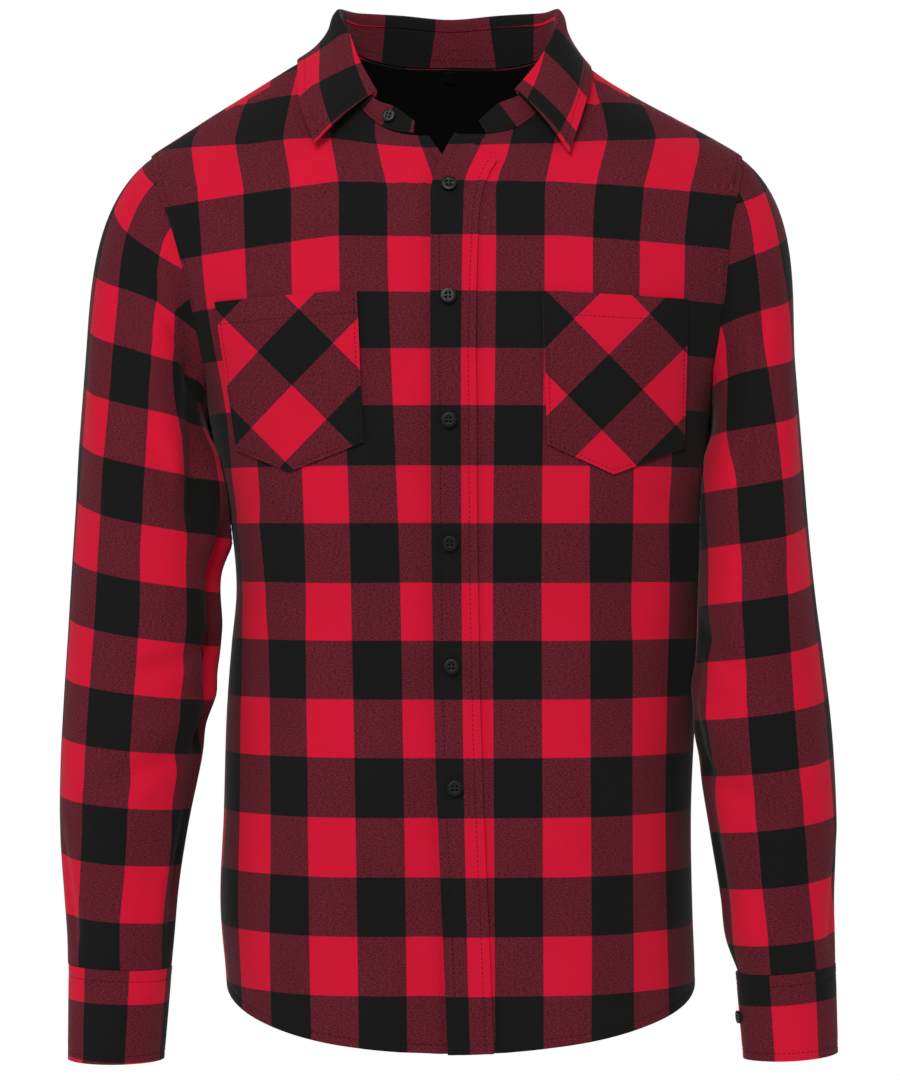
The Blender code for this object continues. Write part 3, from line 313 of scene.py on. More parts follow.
def paces(knee: float, fine: int, coarse: int, end: float = 1.0) -> Array:
    """Even steps from 0 to a knee, then other even steps from it to the end."""
    return np.concatenate([np.linspace(0.0, knee, fine + 1)[:-1], np.linspace(knee, end, coarse)])


def lengths(points: Array, axis: int = 0) -> Array:
    """Length of the way along an axis of a grid of points, from its start to each point.

    Args:
        points: the grid.
        axis: the axis that the way runs along.

    Returns:
        The length at each point, in metres.
    """
    steps = np.linalg.norm(np.diff(points, axis=axis), axis=-1)
    start = np.zeros_like(steps.take([0], axis=axis))
    return np.concatenate([start, np.cumsum(steps, axis=axis)], axis=axis)


def ridges(rows: tuple, x: Array, y: Array) -> Array:
    """Height of soft ridges and troughs, each along a line.

    Args:
        rows: x0, y0, x1, y1 of each line, its half width and its height.
        x, y: where the height is wanted, in the rows' unit.

    Returns:
        The height at each place, in metres.
    """
    total = np.zeros(np.broadcast(x, y).shape)
    for x0, y0, x1, y1, width, height in rows:
        length = math.hypot(x1 - x0, y1 - y0)
        ux, uy = (x1 - x0) / length, (y1 - y0) / length
        along = ((x - x0) * ux + (y - y0) * uy) / length
        away = -(x - x0) * uy + (y - y0) * ux
        taper = ease((along + 0.2) / 0.4) * ease((1.2 - along) / 0.4)
        total += taper * np.exp(-((away / width) ** 2)) * height * MM
    return total


def look_up(grid: Array, xs: Array, ys: Array, x: Array, y: Array) -> Array:
    """Reads a grid of values between its even lines xs and ys, at x and y.

    Args:
        grid: the values, a row for each x and a column for each y.
        xs, ys: the lines of the grid.
        x, y: the places where it is read.

    Returns:
        The value at each place.
    """
    fx = np.clip((x - xs[0]) / (xs[1] - xs[0]), 0.0, len(xs) - 1.001)
    fy = np.clip((y - ys[0]) / (ys[1] - ys[0]), 0.0, len(ys) - 1.001)
    i, j = fx.astype(int), fy.astype(int)
    return mix(mix(grid[i, j], grid[i, j + 1], fy - j),
               mix(grid[i + 1, j], grid[i + 1, j + 1], fy - j), fx - i)


def grid_normals(points: Array, closed: bool = False) -> Array:
    """Normals of a grid of points, from its own rows and columns.

    Args:
        points: the grid.
        closed: whether its last column meets its first.

    Returns:
        A vector of length one at each point.
    """
    if closed:
        across = np.roll(points, -1, axis=1) - np.roll(points, 1, axis=1)
    else:
        across = np.gradient(points, axis=1)
    return unit(np.cross(across, np.gradient(points, axis=0)))


# ---------------------------------------------------------------- form of the body

@dataclass(frozen=True)
class Ring:
    """The body's level outline at one or more heights: half widths, depths, squareness."""

    right: Array
    left: Array
    front: Array
    back: Array
    middle: Array
    square: Array

    def half(self, x: Array) -> Array:
        """Half width on the side that x lies on."""
        return np.where(np.asarray(x) < 0, self.right, self.left)

    def depth(self, behind: Array) -> Array:
        """Depth from the middle to the front, or to the back."""
        return np.where(behind, self.back, self.front)

    def other(self, share: Array) -> Array:
        """Share of one half axis at which the outline lies, from that of the other."""
        return (1.0 - np.clip(share, 0.0, 1.0) ** self.square) ** (1.0 / self.square)


@dataclass
class BodyForm:
    """The worn form of the body, which every panel on it follows."""

    armhole_middle: float = -165.5 * MM
    armhole_radius: float = 105.0 * MM
    armhole_front: float = 67.0 * MM
    armhole_back: float = 76.0 * MM
    front_seam_turn: float = 10.0
    back_seam_turn: float = -44.0
    neck_side: float = 83.0 * MM
    neck_front: float = 74.0 * MM
    neck_back: float = 55.0 * MM
    neck_front_square: float = 3.2
    neck_back_square: float = 2.4
    neck_seam_turn: float = 82.0
    neck_corner: float = -50.0 * MM
    hem_front: float = -740.0 * MM
    hem_back: float = -757.0 * MM
    hem_side: float = -697.0 * MM
    hem_curve: float = 1.45
    seam_rise: float = 0.75
    row_droop: float = 1.4
    droop_right: float = 0.13
    droop_left: float = 0.06
    droop_start: float = 0.085
    droop_low: float = -0.33
    droop_rise: float = 0.18
    hem_seam_turn: dict = field(default_factory=lambda: {-1: 66.0, 1: 90.0})
    arcs: dict = field(default_factory=dict)

    def __post_init__(self) -> None:
        levels = np.linspace(-0.8, 0.036, 210)
        ways = np.arange(-110.0, 470.1, 1.5)
        ring, (sine, cosine) = self.ring(levels[:, None]), waves(ways)
        size = np.abs(sine) ** ring.square + np.abs(cosine) ** ring.square
        size = size ** (-1.0 / ring.square)
        x, y = ring.half(sine) * size * sine, ring.depth(cosine < 0) * size * cosine
        arc = lengths(np.stack([x, y], axis=-1), 1)
        start = int(np.argmin(np.abs(ways)))
        self.arcs["round"] = (arc - arc[:, start:start + 1], levels, ways)
        across = np.linspace(-0.26, 0.26, 105)
        heights = np.linspace(-0.12, 0.036, 157)
        ring = self.ring(heights)
        for face in (-1, 1):
            share = np.abs(across[:, None]) / ring.half(across[:, None])
            y = ring.depth(face > 0) * ring.other(share)
            up = lengths(np.stack([y, np.broadcast_to(heights, y.shape)], axis=-1), 1)
            self.arcs[face] = (up, across, heights)

    def ring(self, z: Array) -> Ring:
        """The body's level outline at height z.

        Args:
            z: one or more heights.

        Returns:
            The outlines there.
        """
        right, left, front, back, middle = [BODY.read(name, z) for name in
                                            ("right", "left", "front", "back", "middle")]
        square = BODY.at("square", np.asarray(z) / MM)
        return Ring(right, left, front + middle, back - middle, middle, square)

    def plain(self, turn: Array, z: Array) -> Array:
        """A point before the folds; turn is 0 in front and 90 at the left seam.

        Args:
            turn, z: the place on the form.

        Returns:
            The point at each place.
        """
        ring, (sine, cosine) = self.ring(z), waves(turn)
        x = ring.half(sine) * bow(sine, 2.0 / ring.square)
        y = ring.middle - ring.depth(cosine < 0) * bow(cosine, 2.0 / ring.square)
        return np.stack([x, y, np.broadcast_to(z, x.shape)], axis=-1)

    def slope(self, point: Callable, turn: Array, z: Array) -> Array:
        """Outward normal of a surface given by its function of turn and height.

        Args:
            point: the surface, a function of turn and height.
            turn, z: the place on it.

        Returns:
            The normal at each place.
        """
        across = point(turn + 0.4, z) - point(turn - 0.4, z)
        up = point(turn, z + 0.5 * MM) - point(turn, z - 0.5 * MM)
        return unit(np.cross(across, up))

    def point(self, turn: Array, z: Array) -> Array:
        """A point of the body's outer side, folds and all.

        Args:
            turn, z: the place on the form.

        Returns:
            The point at each place.
        """
        turn, z = np.broadcast_arrays(np.asarray(turn, float), np.asarray(z, float))
        point = self.plain(turn, z)
        front, back = [ridges([row[1:] for row in BODY_FOLDS.rows if row[0] == face],
                              point[..., 0] / MM, point[..., 2] / MM) for face in (-1, 1)]
        push = np.where(waves(turn)[1] > 0, front, back)
        return point + self.slope(self.plain, turn, z) * push[..., None]

    def normal(self, turn: Array, z: Array) -> Array:
        """The outward normal there."""
        return self.slope(self.point, turn, z)

    def turn_at_x(self, x: Array, z: Array) -> Array:
        """Turn of the point on the front at height z that lies at x.

        Args:
            x, z: the place, seen from the front.

        Returns:
            The turn, in degrees.
        """
        ring = self.ring(z)
        share = np.clip(np.abs(x) / ring.half(x), 0.0, 1.0)
        return np.degrees(np.arcsin(share ** (ring.square / 2.0))) * np.sign(x)

    def armhole(self, side: int, turn: Array) -> tuple:
        """(body turn, z) of the armhole loop; its turn is 0 at the top, 90 in front.

        Args:
            side: -1 for the right armhole, 1 for the left.
            turn: turns round the loop.

        Returns:
            The two coordinates of each point of the loop.
        """
        sine, cosine = waves(turn)
        z = self.armhole_middle + self.armhole_radius * cosine
        ring, ahead = self.ring(z), sine > 0
        reach = np.where(ahead, self.armhole_front, self.armhole_back)
        share = np.clip(reach * np.abs(sine) / ring.depth(~ahead), 0.0, 1.0)
        away = np.degrees(np.arccos(share ** (ring.square / 2.0)))
        return side * np.where(ahead, away, 180.0 - away), z

    def neckline(self, turn: Array) -> tuple:
        """(body turn, z) of the neckline; its turn is 0 in front, 180 behind.

        Args:
            turn: turns round the neck.

        Returns:
            The two coordinates of each point of the neckline.
        """
        sine, cosine = waves(turn)
        behind = cosine < 0
        power = 2.0 / np.where(behind, self.neck_back_square, self.neck_front_square)
        x = self.neck_side * bow(sine, power)
        y = -np.where(behind, self.neck_back, self.neck_front) * bow(cosine, power)
        low, high = np.full(np.shape(x), -0.09), np.full(np.shape(x), 0.036)
        for _ in range(40):
            z = 0.5 * (low + high)
            ring = self.ring(z)
            wide = (np.abs(x) / ring.half(x)) ** ring.square
            deep = (np.abs(y) / ring.depth(y > 0)) ** ring.square
            inside = wide + deep < 1.0
            low, high = np.where(inside, z, low), np.where(inside, high, z)
        away = np.degrees(np.arctan2(np.sqrt(wide), np.sqrt(deep)))
        return np.where(y > 0, 180.0 - away, away) * np.where(x < 0, -1, 1), z

    def side_turn(self, side: int, up: float) -> float:
        """Body turn of a side seam at a share of the way from hem to armpit."""
        return mix(self.hem_seam_turn[side], 90.0, ease(up / self.seam_rise))

    def hem(self, turn: Array) -> Array:
        """Height of the hem's edge at a turn from 0 to 180.

        Args:
            turn: turns round the body.

        Returns:
            The height at each turn.
        """
        share = np.abs(turn) / 90.0
        front = mix(self.hem_front, self.hem_side, np.clip(share, 0, 1) ** self.hem_curve)
        back = mix(self.hem_back, self.hem_side, np.clip(2 - share, 0, 1) ** self.hem_curve)
        return np.where(share <= 1.0, front, back)

    def way_round(self, turn: Array, z: Array) -> Array:
        """Length of cloth from the front's middle round to a turn, at height z.

        Args:
            turn, z: the place on the form.

        Returns:
            The length, less than nothing towards the right.
        """
        power, (sine, cosine) = 2.0 / self.ring(z).square, waves(turn)
        way = np.degrees(np.arctan2(bow(sine, power), bow(cosine, power)))
        way = np.where((turn > 0) & (way < 0), way + 360.0, way)
        return look_up(*self.arcs["round"], np.asarray(z, float) + 0 * way, way)

    def way_up(self, face: int, x: Array, low: Array, high: Array) -> Array:
        """Length of cloth on a face from one level up to another, at a fixed x."""
        return look_up(*self.arcs[face], x, high) - look_up(*self.arcs[face], x, low)

    def row_height(self, face: int, x: Array, z: Array) -> Array:
        """The check's height at a place: even over the chest, then up along the cloth.

        Args:
            face: -1 for the front, 1 for the back.
            x, z: the place on it.

        Returns:
            The check's own height there, in metres of cloth.
        """
        rows = (FIRST_ROW + np.arange(len(ROW_LEVELS))) * ROW
        levels = np.array(ROW_LEVELS) * MM
        chest = np.interp(z, levels, rows) + np.minimum(z - levels[0], 0.0)
        inner, knee = np.clip(x, -0.15, 0.15), np.full(np.shape(x), levels[-2])
        above = self.way_up(face, inner, knee, z)
        if face > 0:
            return np.where(z > knee, rows[-2] + above * 0.985, chest)
        full = FULLNESS.at("full", x / MM)
        return np.where(z > knee, rows[-2] + above * full + self.droop(inner, knee),
                        chest + self.droop(x, z))

    def droop(self, x: Array, z: Array) -> Array:
        """How far the check's rows sink towards the armholes, over the chest.

        Args:
            x, z: the place on the front.

        Returns:
            How much higher a row is counted there.
        """
        slope = np.where(x < 0, self.droop_right, self.droop_left)
        away = np.maximum(np.abs(x) - self.droop_start, 0.0)
        return slope * away * ease((z - self.droop_low) / self.droop_rise)

    def lean(self, x: Array, z: Array) -> Array:
        """How far the check's columns lean out above the chest, most at the placket.

        Args:
            x, z: the place on the front.

        Returns:
            How far outward a column stands there.
        """
        near = 1.0 - ease((np.abs(x) - 0.035) / 0.035)
        rise = np.clip(z + 0.092, 0.0, 0.09)
        beside = 0.19 * np.minimum(rise, 0.040) - 0.12 * np.clip(z + 0.052, 0.0, 0.05)
        outer = np.interp(x, *LEAN)
        return mix(beside + outer * np.clip(z + 0.13, 0.0, 0.08), 0.35 * rise, near)


# ---------------------------------------------------------------- cloth and thread

def new_thing(name: str, data: bpy.types.ID) -> bpy.types.Object:
    """A new object of some data, in the scene.

    Args:
        name: its name.
        data: its mesh, light or camera.

    Returns:
        The new object.
    """
    thing = bpy.data.objects.new(name, data)
    bpy.context.scene.collection.objects.link(thing)
    return thing


def new_mesh(name: str, vertices: list, faces: list, material: bpy.types.Material) -> bpy.types.Mesh:
    """A new mesh from lists of arrays of its vertices and faces.

    Args:
        name: its name.
        vertices, faces: the arrays, each to follow the one before.
        material: its only material.

    Returns:
        The new mesh.
    """
    mesh = bpy.data.meshes.new(name)
    mesh.from_pydata(np.concatenate(vertices).tolist(), [], np.concatenate(faces).tolist())
    mesh.materials.append(material)
    return mesh


class Edge(Enum):
    """The edges of a piece's grid of points."""

    BOTTOM = "bottom"
    TOP = "top"
    START = "start"
    END = "end"


@dataclass
class Piece:
    """One piece of cloth: its outer side's grid, its check, its wall and its seams."""

    node: str
    points: Array
    normals: Array
    check: tuple
    wall: float = 1.4 * MM
    lift: float = 0.0
    closed: bool = False
    seams: list = field(default_factory=list)

    def outer(self) -> Array:
        """The outer side's points."""
        lift = np.broadcast_to(np.asarray(self.lift, float), self.points.shape[:2])
        return self.points + self.normals * lift[..., None]

    def build(self, material: bpy.types.Material) -> bpy.types.Object:
        """Makes the piece as a closed wall of cloth.

        Args:
            material: the cloth's finish, which reads the UV map "cloth".

        Returns:
            The new object.
        """
        rows, columns = self.points.shape[:2]
        outer = self.outer()
        check = np.stack(np.broadcast_arrays(*self.check), axis=-1)
        steps = columns if self.closed else columns - 1
        r, c = np.meshgrid(np.arange(rows - 1), np.arange(steps), indexing="ij")
        r, c = r.ravel(), c.ravel()
        corners = [(r, c), (r, c + 1), (r + 1, c + 1), (r + 1, c)]
        faces, charts = [], []

        def add(places: list, skins: tuple) -> None:
            """Adds quads, each corner on the outer (0) or inner (1) skin.

            Args:
                places: the row and column of each corner of the quads.
                skins: the skin that each corner lies on.
            """
            index = [s * rows * columns + a * columns + b % columns
                     for (a, b), s in zip(places, skins)]
            faces.append(np.stack(index, axis=1))
            charts.append(np.stack([check[a, b] for a, b in places], axis=1))

        add(corners, (0, 0, 0, 0))
        add(corners[::-1], (1, 1, 1, 1))
        c = np.arange(steps)
        for row, a, b in ((0, c + 1, c), (rows - 1, c, c + 1)):
            r = np.full(steps, row)
            add([(r, a), (r, b), (r, b), (r, a)], (0, 0, 1, 1))
        if not self.closed:
            r = np.arange(rows - 1)
            for column, a, b in ((0, r, r + 1), (columns - 1, r + 1, r)):
                c = np.full(rows - 1, column)
                add([(a, c), (b, c), (b, c), (a, c)], (0, 0, 1, 1))
        skins = [skin.reshape(-1, 3) for skin in (outer, outer - self.normals * self.wall)]
        mesh = new_mesh(self.node + "_cloth", skins, faces, material)
        layer = mesh.uv_layers.new(name="cloth")
        layer.data.foreach_set("uv", np.concatenate(charts).reshape(-1).astype(np.float32))
        mesh.shade_smooth()
        mesh.set_sharp_from_angle(angle=math.radians(55))
        return new_thing(mesh.name, mesh)

    def line(self, edge: Edge, distance: float) -> tuple:
        """The line that runs beside an edge.

        Args:
            edge: the edge that it follows.
            distance: how far in it runs, measured on the cloth.

        Returns:
            Its points and the cloth's normals there.
        """
        points, normals = self.outer(), self.normals
        if edge in (Edge.START, Edge.END):
            points, normals = points.swapaxes(0, 1), normals.swapaxes(0, 1)
        if edge in (Edge.TOP, Edge.END):
            points, normals = points[::-1], normals[::-1]
        ways = lengths(points)
        row = np.clip((ways < distance).sum(axis=0) - 1, 0, len(points) - 2)
        here = (row, np.arange(points.shape[1]))
        after = (row + 1, here[1])
        t = (distance - ways[here]) / np.maximum(ways[after] - ways[here], 1e-9)
        t = np.clip(t, 0.0, 1.0)[:, None]
        return mix(points[here], points[after], t), unit(mix(normals[here], normals[after], t))

    def sink(self, edge: Edge, distance: float, depth: float = 0.4, width: float = 2.0) -> None:
        """Draws the cloth in along a line beside an edge, a little unevenly.

        Args:
            edge: the edge that the line follows.
            distance: how far in it runs, in millimetres.
            depth: how deep the cloth is drawn in, in millimetres.
            width: half width of the dent, in millimetres.
        """
        axis = 0 if edge in (Edge.BOTTOM, Edge.TOP) else 1
        away, along = lengths(self.points, axis) / MM, lengths(self.points, 1 - axis) / MM
        if edge in (Edge.TOP, Edge.END):
            away = away.take([-1], axis=axis) - away
        uneven = 0.8 + 0.35 * np.sin(along / 3.1) * np.sin(along / 8.3 + 0.7)
        dent = depth * MM * uneven * np.exp(-(((away - distance) / width) ** 2))
        self.lift = np.broadcast_to(np.asarray(self.lift, float), away.shape) - dent

    def seam(self, edge: Edge, distance: float, sunk: bool = True, part: slice = slice(None),
             inside: bool = False) -> None:
        """Plans a row of stitches beside an edge.

        Args:
            edge: the edge that the row follows.
            distance: how far in it runs, in millimetres.
            sunk: whether the stitches draw the cloth in.
            part: the part of the edge that it runs along.
            inside: whether it shows on the cloth's inner side.
        """
        self.seams.append((edge, distance * MM, part, inside))
        if sunk:
            self.sink(edge, distance)

    def stitch_rows(self) -> list:
        """Points and normals of each seam's row of stitches.

        Returns:
            Its points and normals, row by row.
        """
        rows = []
        for edge, distance, part, inside in self.seams:
            line, normals = self.line(edge, distance)
            if inside:
                line, normals = line - normals * self.wall, -normals
            rows.append((line[part], normals[part]))
        return rows

    def area(self) -> float:
        """Area of the outer side, in square metres.

        Returns:
            The area.
        """
        points = self.outer()
        if self.closed:
            points = np.concatenate([points, points[:, :1]], axis=1)
        a, b = points[1:, 1:] - points[:-1, :-1], points[1:, :-1] - points[:-1, 1:]
        return float(0.5 * np.linalg.norm(np.cross(a, b), axis=-1).sum())


@dataclass(frozen=True)
class Thread:
    """Rows of machine stitches, each a short raised lozenge of thread."""

    length: float = 2.7 * MM
    gap: float = 0.9 * MM
    width: float = 0.55 * MM
    height: float = 0.35 * MM
    bed: float = 0.3            # how deep a stitch sits in the cloth, in its heights
    shoulder: float = 0.32      # its full width reaches this far from its middle

    def place(self, line: Array, normals: Array) -> tuple:
        """Places the stitches of one row.

        Args:
            line: points of the row.
            normals: the cloth's normals there.

        Returns:
            The row's vertices and faces.
        """
        ways = lengths(line)
        count = int(ways[-1] / (self.length + self.gap))
        starts = (np.arange(count) + 0.5) * (self.length + self.gap)

        def at(way: Array, values: Array) -> Array:
            """Reads the row's values at ways along it."""
            return np.stack([np.interp(way, ways, values[:, i]) for i in range(3)], axis=-1)

        a, b = at(starts, line), at(starts + self.length, line)
        n = unit(at(starts + 0.5 * self.length, normals))
        across = np.cross(n, unit(b - a)) * self.width * 0.5
        middle, half = 0.5 * (a + b), self.shoulder * (b - a)
        top, low = n * self.height, -n * self.bed * self.height
        ring = [a + low, middle - half + across + low, middle + half + across + low, b + low,
                middle + half - across + low, middle - half - across + low,
                middle - half + top, middle + half + top]
        pattern = np.array([(0, 1, 6), (1, 2, 7), (1, 7, 6), (2, 3, 7), (3, 4, 7), (4, 5, 6),
                            (4, 6, 7), (5, 0, 6), (0, 5, 1), (1, 5, 4), (1, 4, 2), (2, 4, 3)])
        faces = (np.arange(count)[:, None, None] * 8 + pattern[:, ::-1]).reshape(-1, 3)
        return np.stack(ring, axis=1).reshape(-1, 3), faces

    def sew(self, name: str, rows: list, material: bpy.types.Material) -> bpy.types.Object:
        """Makes one object of several rows of stitches.

        Args:
            name: the object's name.
            rows: (points, normals) of each row.
            material: the thread's finish.

        Returns:
            The new object.
        """
        vertices, faces, count = [], [], 0
        for row in rows:
            new_vertices, new_faces = self.place(*row)
            vertices.append(new_vertices)
            faces.append(new_faces + count)
            count += len(new_vertices)
        return new_thing(name, new_mesh(name, vertices, faces, material))


# ---------------------------------------------------------------- finishes

def linear(code: str) -> tuple:
    """Turns an sRGB hex colour into linear red, green, blue and full alpha.

    Args:
        code: the colour, with its leading #.

    Returns:
        The four numbers.
    """
    parts = [int(code[i:i + 2], 16) / 255.0 for i in (1, 3, 5)]
    bent = [p / 12.92 if p <= 0.04045 else ((p + 0.055) / 1.055) ** 2.4 for p in parts]
    return (*bent, 1.0)


@dataclass(frozen=True)
class Nodes:
    """A node tree, to which nodes are added one by one; each method returns an output."""

    tree: bpy.types.NodeTree

    def feed(self, node: bpy.types.Node, inputs: dict) -> None:
        """Gives each named or numbered input a constant or another node's output.

        Args:
            node: the node.
            inputs: what each of its inputs gets.
        """
        for key, value in inputs.items():
            if isinstance(value, bpy.types.NodeSocket):
                self.tree.links.new(value, node.inputs[key])
            else:
                node.inputs[key].default_value = value

    def add(self, kind: str, inputs: dict = None, out: str = None, **settings: object) -> Socket:
        """Adds a node.

        Args:
            kind: the node's type name, without ShaderNode.
            inputs: a constant or another node's output for its inputs.
            out: the name of the output that is wanted, if it isn't the first in use.
            settings: its options.

        Returns:
            The output.
        """
        new = self.tree.nodes.new("ShaderNode" + kind)
        for key, value in settings.items():
            setattr(new, key, value)
        self.feed(new, inputs or {})
        return new.outputs[out] if out else next(s for s in new.outputs if s.enabled)

    def math(self, operation: str, *terms: float | Socket, clamp: bool = False) -> Socket:
        """Works out an operation on one to three terms."""
        return self.add("Math", dict(enumerate(terms)), operation=operation, use_clamp=clamp)

    def spread(self, value: Socket, first: float, last: float, low: float = 0.0,
               high: float = 1.0) -> Socket:
        """Goes from first to last as a value goes from low to high.

        Args:
            value: what is read.
            first, last: the range that it is spread over.
            low, high: the values that they stand for.

        Returns:
            The output.
        """
        return self.add("MapRange", {0: value, 1: low, 2: high, 3: first, 4: last})

    def noise(self, place: Socket, size: float, detail: float, rough: float = 0.5,
              dimensions: str = "3D") -> Socket:
        """Soft noise whose patches have a size in metres.

        Args:
            place: the coordinates.
            size: the size of its patches.
            detail: how many finer noises are added.
            rough: how strong they are.
            dimensions: how many of the coordinates it reads.

        Returns:
            The output.
        """
        inputs = {"Vector": place, "Scale": 1.0 / size, "Detail": detail, "Roughness": rough}
        return self.add("TexNoise", inputs, noise_dimensions=dimensions)

    def blend(self, share: Socket, a: Socket, b: Socket) -> Socket:
        """Goes from one colour to another as a share goes from 0 to 1."""
        return self.add("Mix", {0: share, 6: a, 7: b}, data_type="RGBA")


@dataclass(frozen=True)
class Material:
    """A named material and what its finishes share."""

    name: str

    def make(self) -> bpy.types.Material:
        """Makes the material and feeds its shader.

        Returns:
            The material.
        """
        material = bpy.data.materials.new(self.name)
        material.use_nodes = True
        nodes = Nodes(material.node_tree)
        nodes.feed(material.node_tree.nodes["Principled BSDF"], self.inputs(nodes))
        return material

    def inputs(self, nodes: Nodes) -> dict:
        """The shader's inputs by name, which every finish gives for itself."""
        raise NotImplementedError(self.name)


@dataclass(frozen=True)
class CheckFlannel(Material):
    """Brushed cotton twill, woven from red and black yarn: matt, soft and faintly hairy."""

    name: str = "brushed_cotton_check_flannel"
    red: str = "#CC1432"
    mixed_light: str = "#742431"
    mixed_dark: str = "#3A1118"
    black: str = "#151615"
    fibre: float = 0.9 * MM     # finest heather that shows, three yarns wide
    slub: float = 0.8 * MM      # thicker places in the weft, drawn out to three times as long
    cloud: float = 1.0 / 14.0   # wear and nap, brighter and darker by patches of 71 mm
    twill: float = 1.5 * MM     # the real twill line is 0.7 mm, too fine to show
    edge: float = 0.35 * MM     # how far yarns stray at a colour's edge
    soft: float = 0.3 * MM      # half of the width over which the colours change there

    def inputs(self, nodes: Nodes) -> dict:
        """The shader's inputs, on the UV map "cloth", which is in metres of cloth.

        Args:
            nodes: the material's nodes.

        Returns:
            What each input gets.
        """
        chart = nodes.add("UVMap", uv_map="cloth")
        across, up = [nodes.add("SeparateXYZ", {0: chart}, axis) for axis in "XY"]
        drawn = nodes.add("VectorMath", {0: chart, 1: (0.35, 1.0, 1.0)}, operation="MULTIPLY")
        fibre = nodes.noise(chart, self.fibre, 2.0, 0.6, "2D")
        slub = nodes.noise(drawn, self.slub, 2.0, 0.6, "2D")
        cloud = nodes.noise(chart, self.cloud, 3.0, 0.55, "2D")
        heather = nodes.add("Mix", {0: 0.5, 2: fibre, 3: slub}, data_type="FLOAT")
        heather = nodes.spread(heather, 0.0, 1.0, 0.34, 0.66)
        columns = self.stripes(nodes, fibre, across, COLUMN)
        rows = self.stripes(nodes, fibre, up, ROW)
        slant = nodes.math("MULTIPLY_ADD", up, 1.6, across)
        phase = nodes.math("MULTIPLY", slant, math.tau / (1.9 * self.twill))
        weave = nodes.math("MULTIPLY_ADD", nodes.math("SINE", phase), 0.10, heather, clamp=True)
        mixed = nodes.blend(weave, linear(self.mixed_dark), linear(self.mixed_light))
        colour = nodes.blend(rows, nodes.blend(columns, linear(self.red), mixed),
                             nodes.blend(columns, mixed, linear(self.black)))
        value = nodes.math("MULTIPLY", nodes.spread(cloud, 0.90, 1.08),
                           nodes.spread(fibre, 0.93, 1.07))
        bump = {"Strength": 0.25, "Distance": 0.25 * MM, "Height": weave}
        return {"Base Color": nodes.add("HueSaturation", {"Value": value, "Color": colour}),
                "Normal": nodes.add("Bump", bump), "Roughness": 0.95, "Metallic": 0.0,
                "Specular IOR Level": 0.08, "Sheen Weight": 0.06, "Sheen Roughness": 0.45}

    def stripes(self, nodes: Nodes, fibre: Socket, way: Socket, size: float) -> Socket:
        """A mask of stripes of a size across a way, their edges straying by the fibre.

        Args:
            nodes: the material's nodes.
            fibre: the noise that the edges stray by.
            way: the coordinate across the stripes.
            size: the width of a stripe.

        Returns:
            The mask, 1 in every other stripe.
        """
        stray = nodes.math("MULTIPLY_ADD", fibre, self.edge, way)
        shifted = nodes.math("ADD", stray, size / 2 - self.edge / 2)
        wave = nodes.math("PINGPONG", shifted, size)
        return nodes.spread(wave, 0.0, 1.0, size / 2 - self.soft, size / 2 + self.soft)


@dataclass(frozen=True)
class PlainCotton(Material):
    """Plain dyed cotton, close and matt, in the colour given, which for the lining also carries
    painted shade; also the thread, which is a little smoother.
    """

    colour: str
    roughness: float = 0.92
    yarn: float = 0.8 * MM      # the real yarn is 0.3 mm, too fine to show

    def inputs(self, nodes: Nodes) -> dict:
        """The shader's inputs, on Object coordinates.

        Args:
            nodes: the material's nodes.

        Returns:
            What each input gets.
        """
        noise = nodes.noise(nodes.add("TexCoord", out="Object"), self.yarn, 2.0)
        colour = {"Value": nodes.spread(noise, 0.8, 1.25), "Color": linear(self.colour)}
        bump = {"Strength": 0.3, "Distance": 0.2 * MM, "Height": noise}
        return {"Base Color": nodes.add("HueSaturation", colour),
                "Normal": nodes.add("Bump", bump), "Roughness": self.roughness, "Metallic": 0.0,
                "Specular IOR Level": 0.1, "Sheen Weight": 0.03, "Sheen Roughness": 0.45}


@dataclass(frozen=True)
class MouldedResin(Material):
    """Polyester button resin, moulded and tumbled: near black with a satin gleam."""

    name: str = "moulded_resin_button"
    colour: str = "#0A0A0B"
    polish: float = 1.0 / 350.0     # patches of 2.9 mm that tumbling left a little duller
    ior: float = 1.54

    def inputs(self, nodes: Nodes) -> dict:
        """The shader's inputs, on Object coordinates.

        Args:
            nodes: the material's nodes.

        Returns:
            What each input gets.
        """
        noise = nodes.noise(nodes.add("TexCoord", out="Object"), self.polish, 3.0)
        colour = {"Value": nodes.spread(noise, 0.85, 1.2), "Color": linear(self.colour)}
        return {"Base Color": nodes.add("HueSaturation", colour), "IOR": self.ior,
                "Roughness": nodes.spread(noise, 0.34, 0.46), "Specular IOR Level": 0.22}


@dataclass(frozen=True)
class MattPaper(Material):
    """Matt white paper, the studio's floor."""

    name: str = "matt_white_paper"

    def inputs(self, nodes: Nodes) -> dict:
        """The shader's inputs, which are plain."""
        return {"Base Color": linear("#F2F2F2"), "Roughness": 0.9}


class Finish(Enum):
    """The finishes and the record's slots that they come from."""

    CHECK = "check_flannel"
    BIAS = "bias_flannel"
    PLAIN = "plain_cotton"
    THREAD = "thread"
    BUTTON = "button_resin"


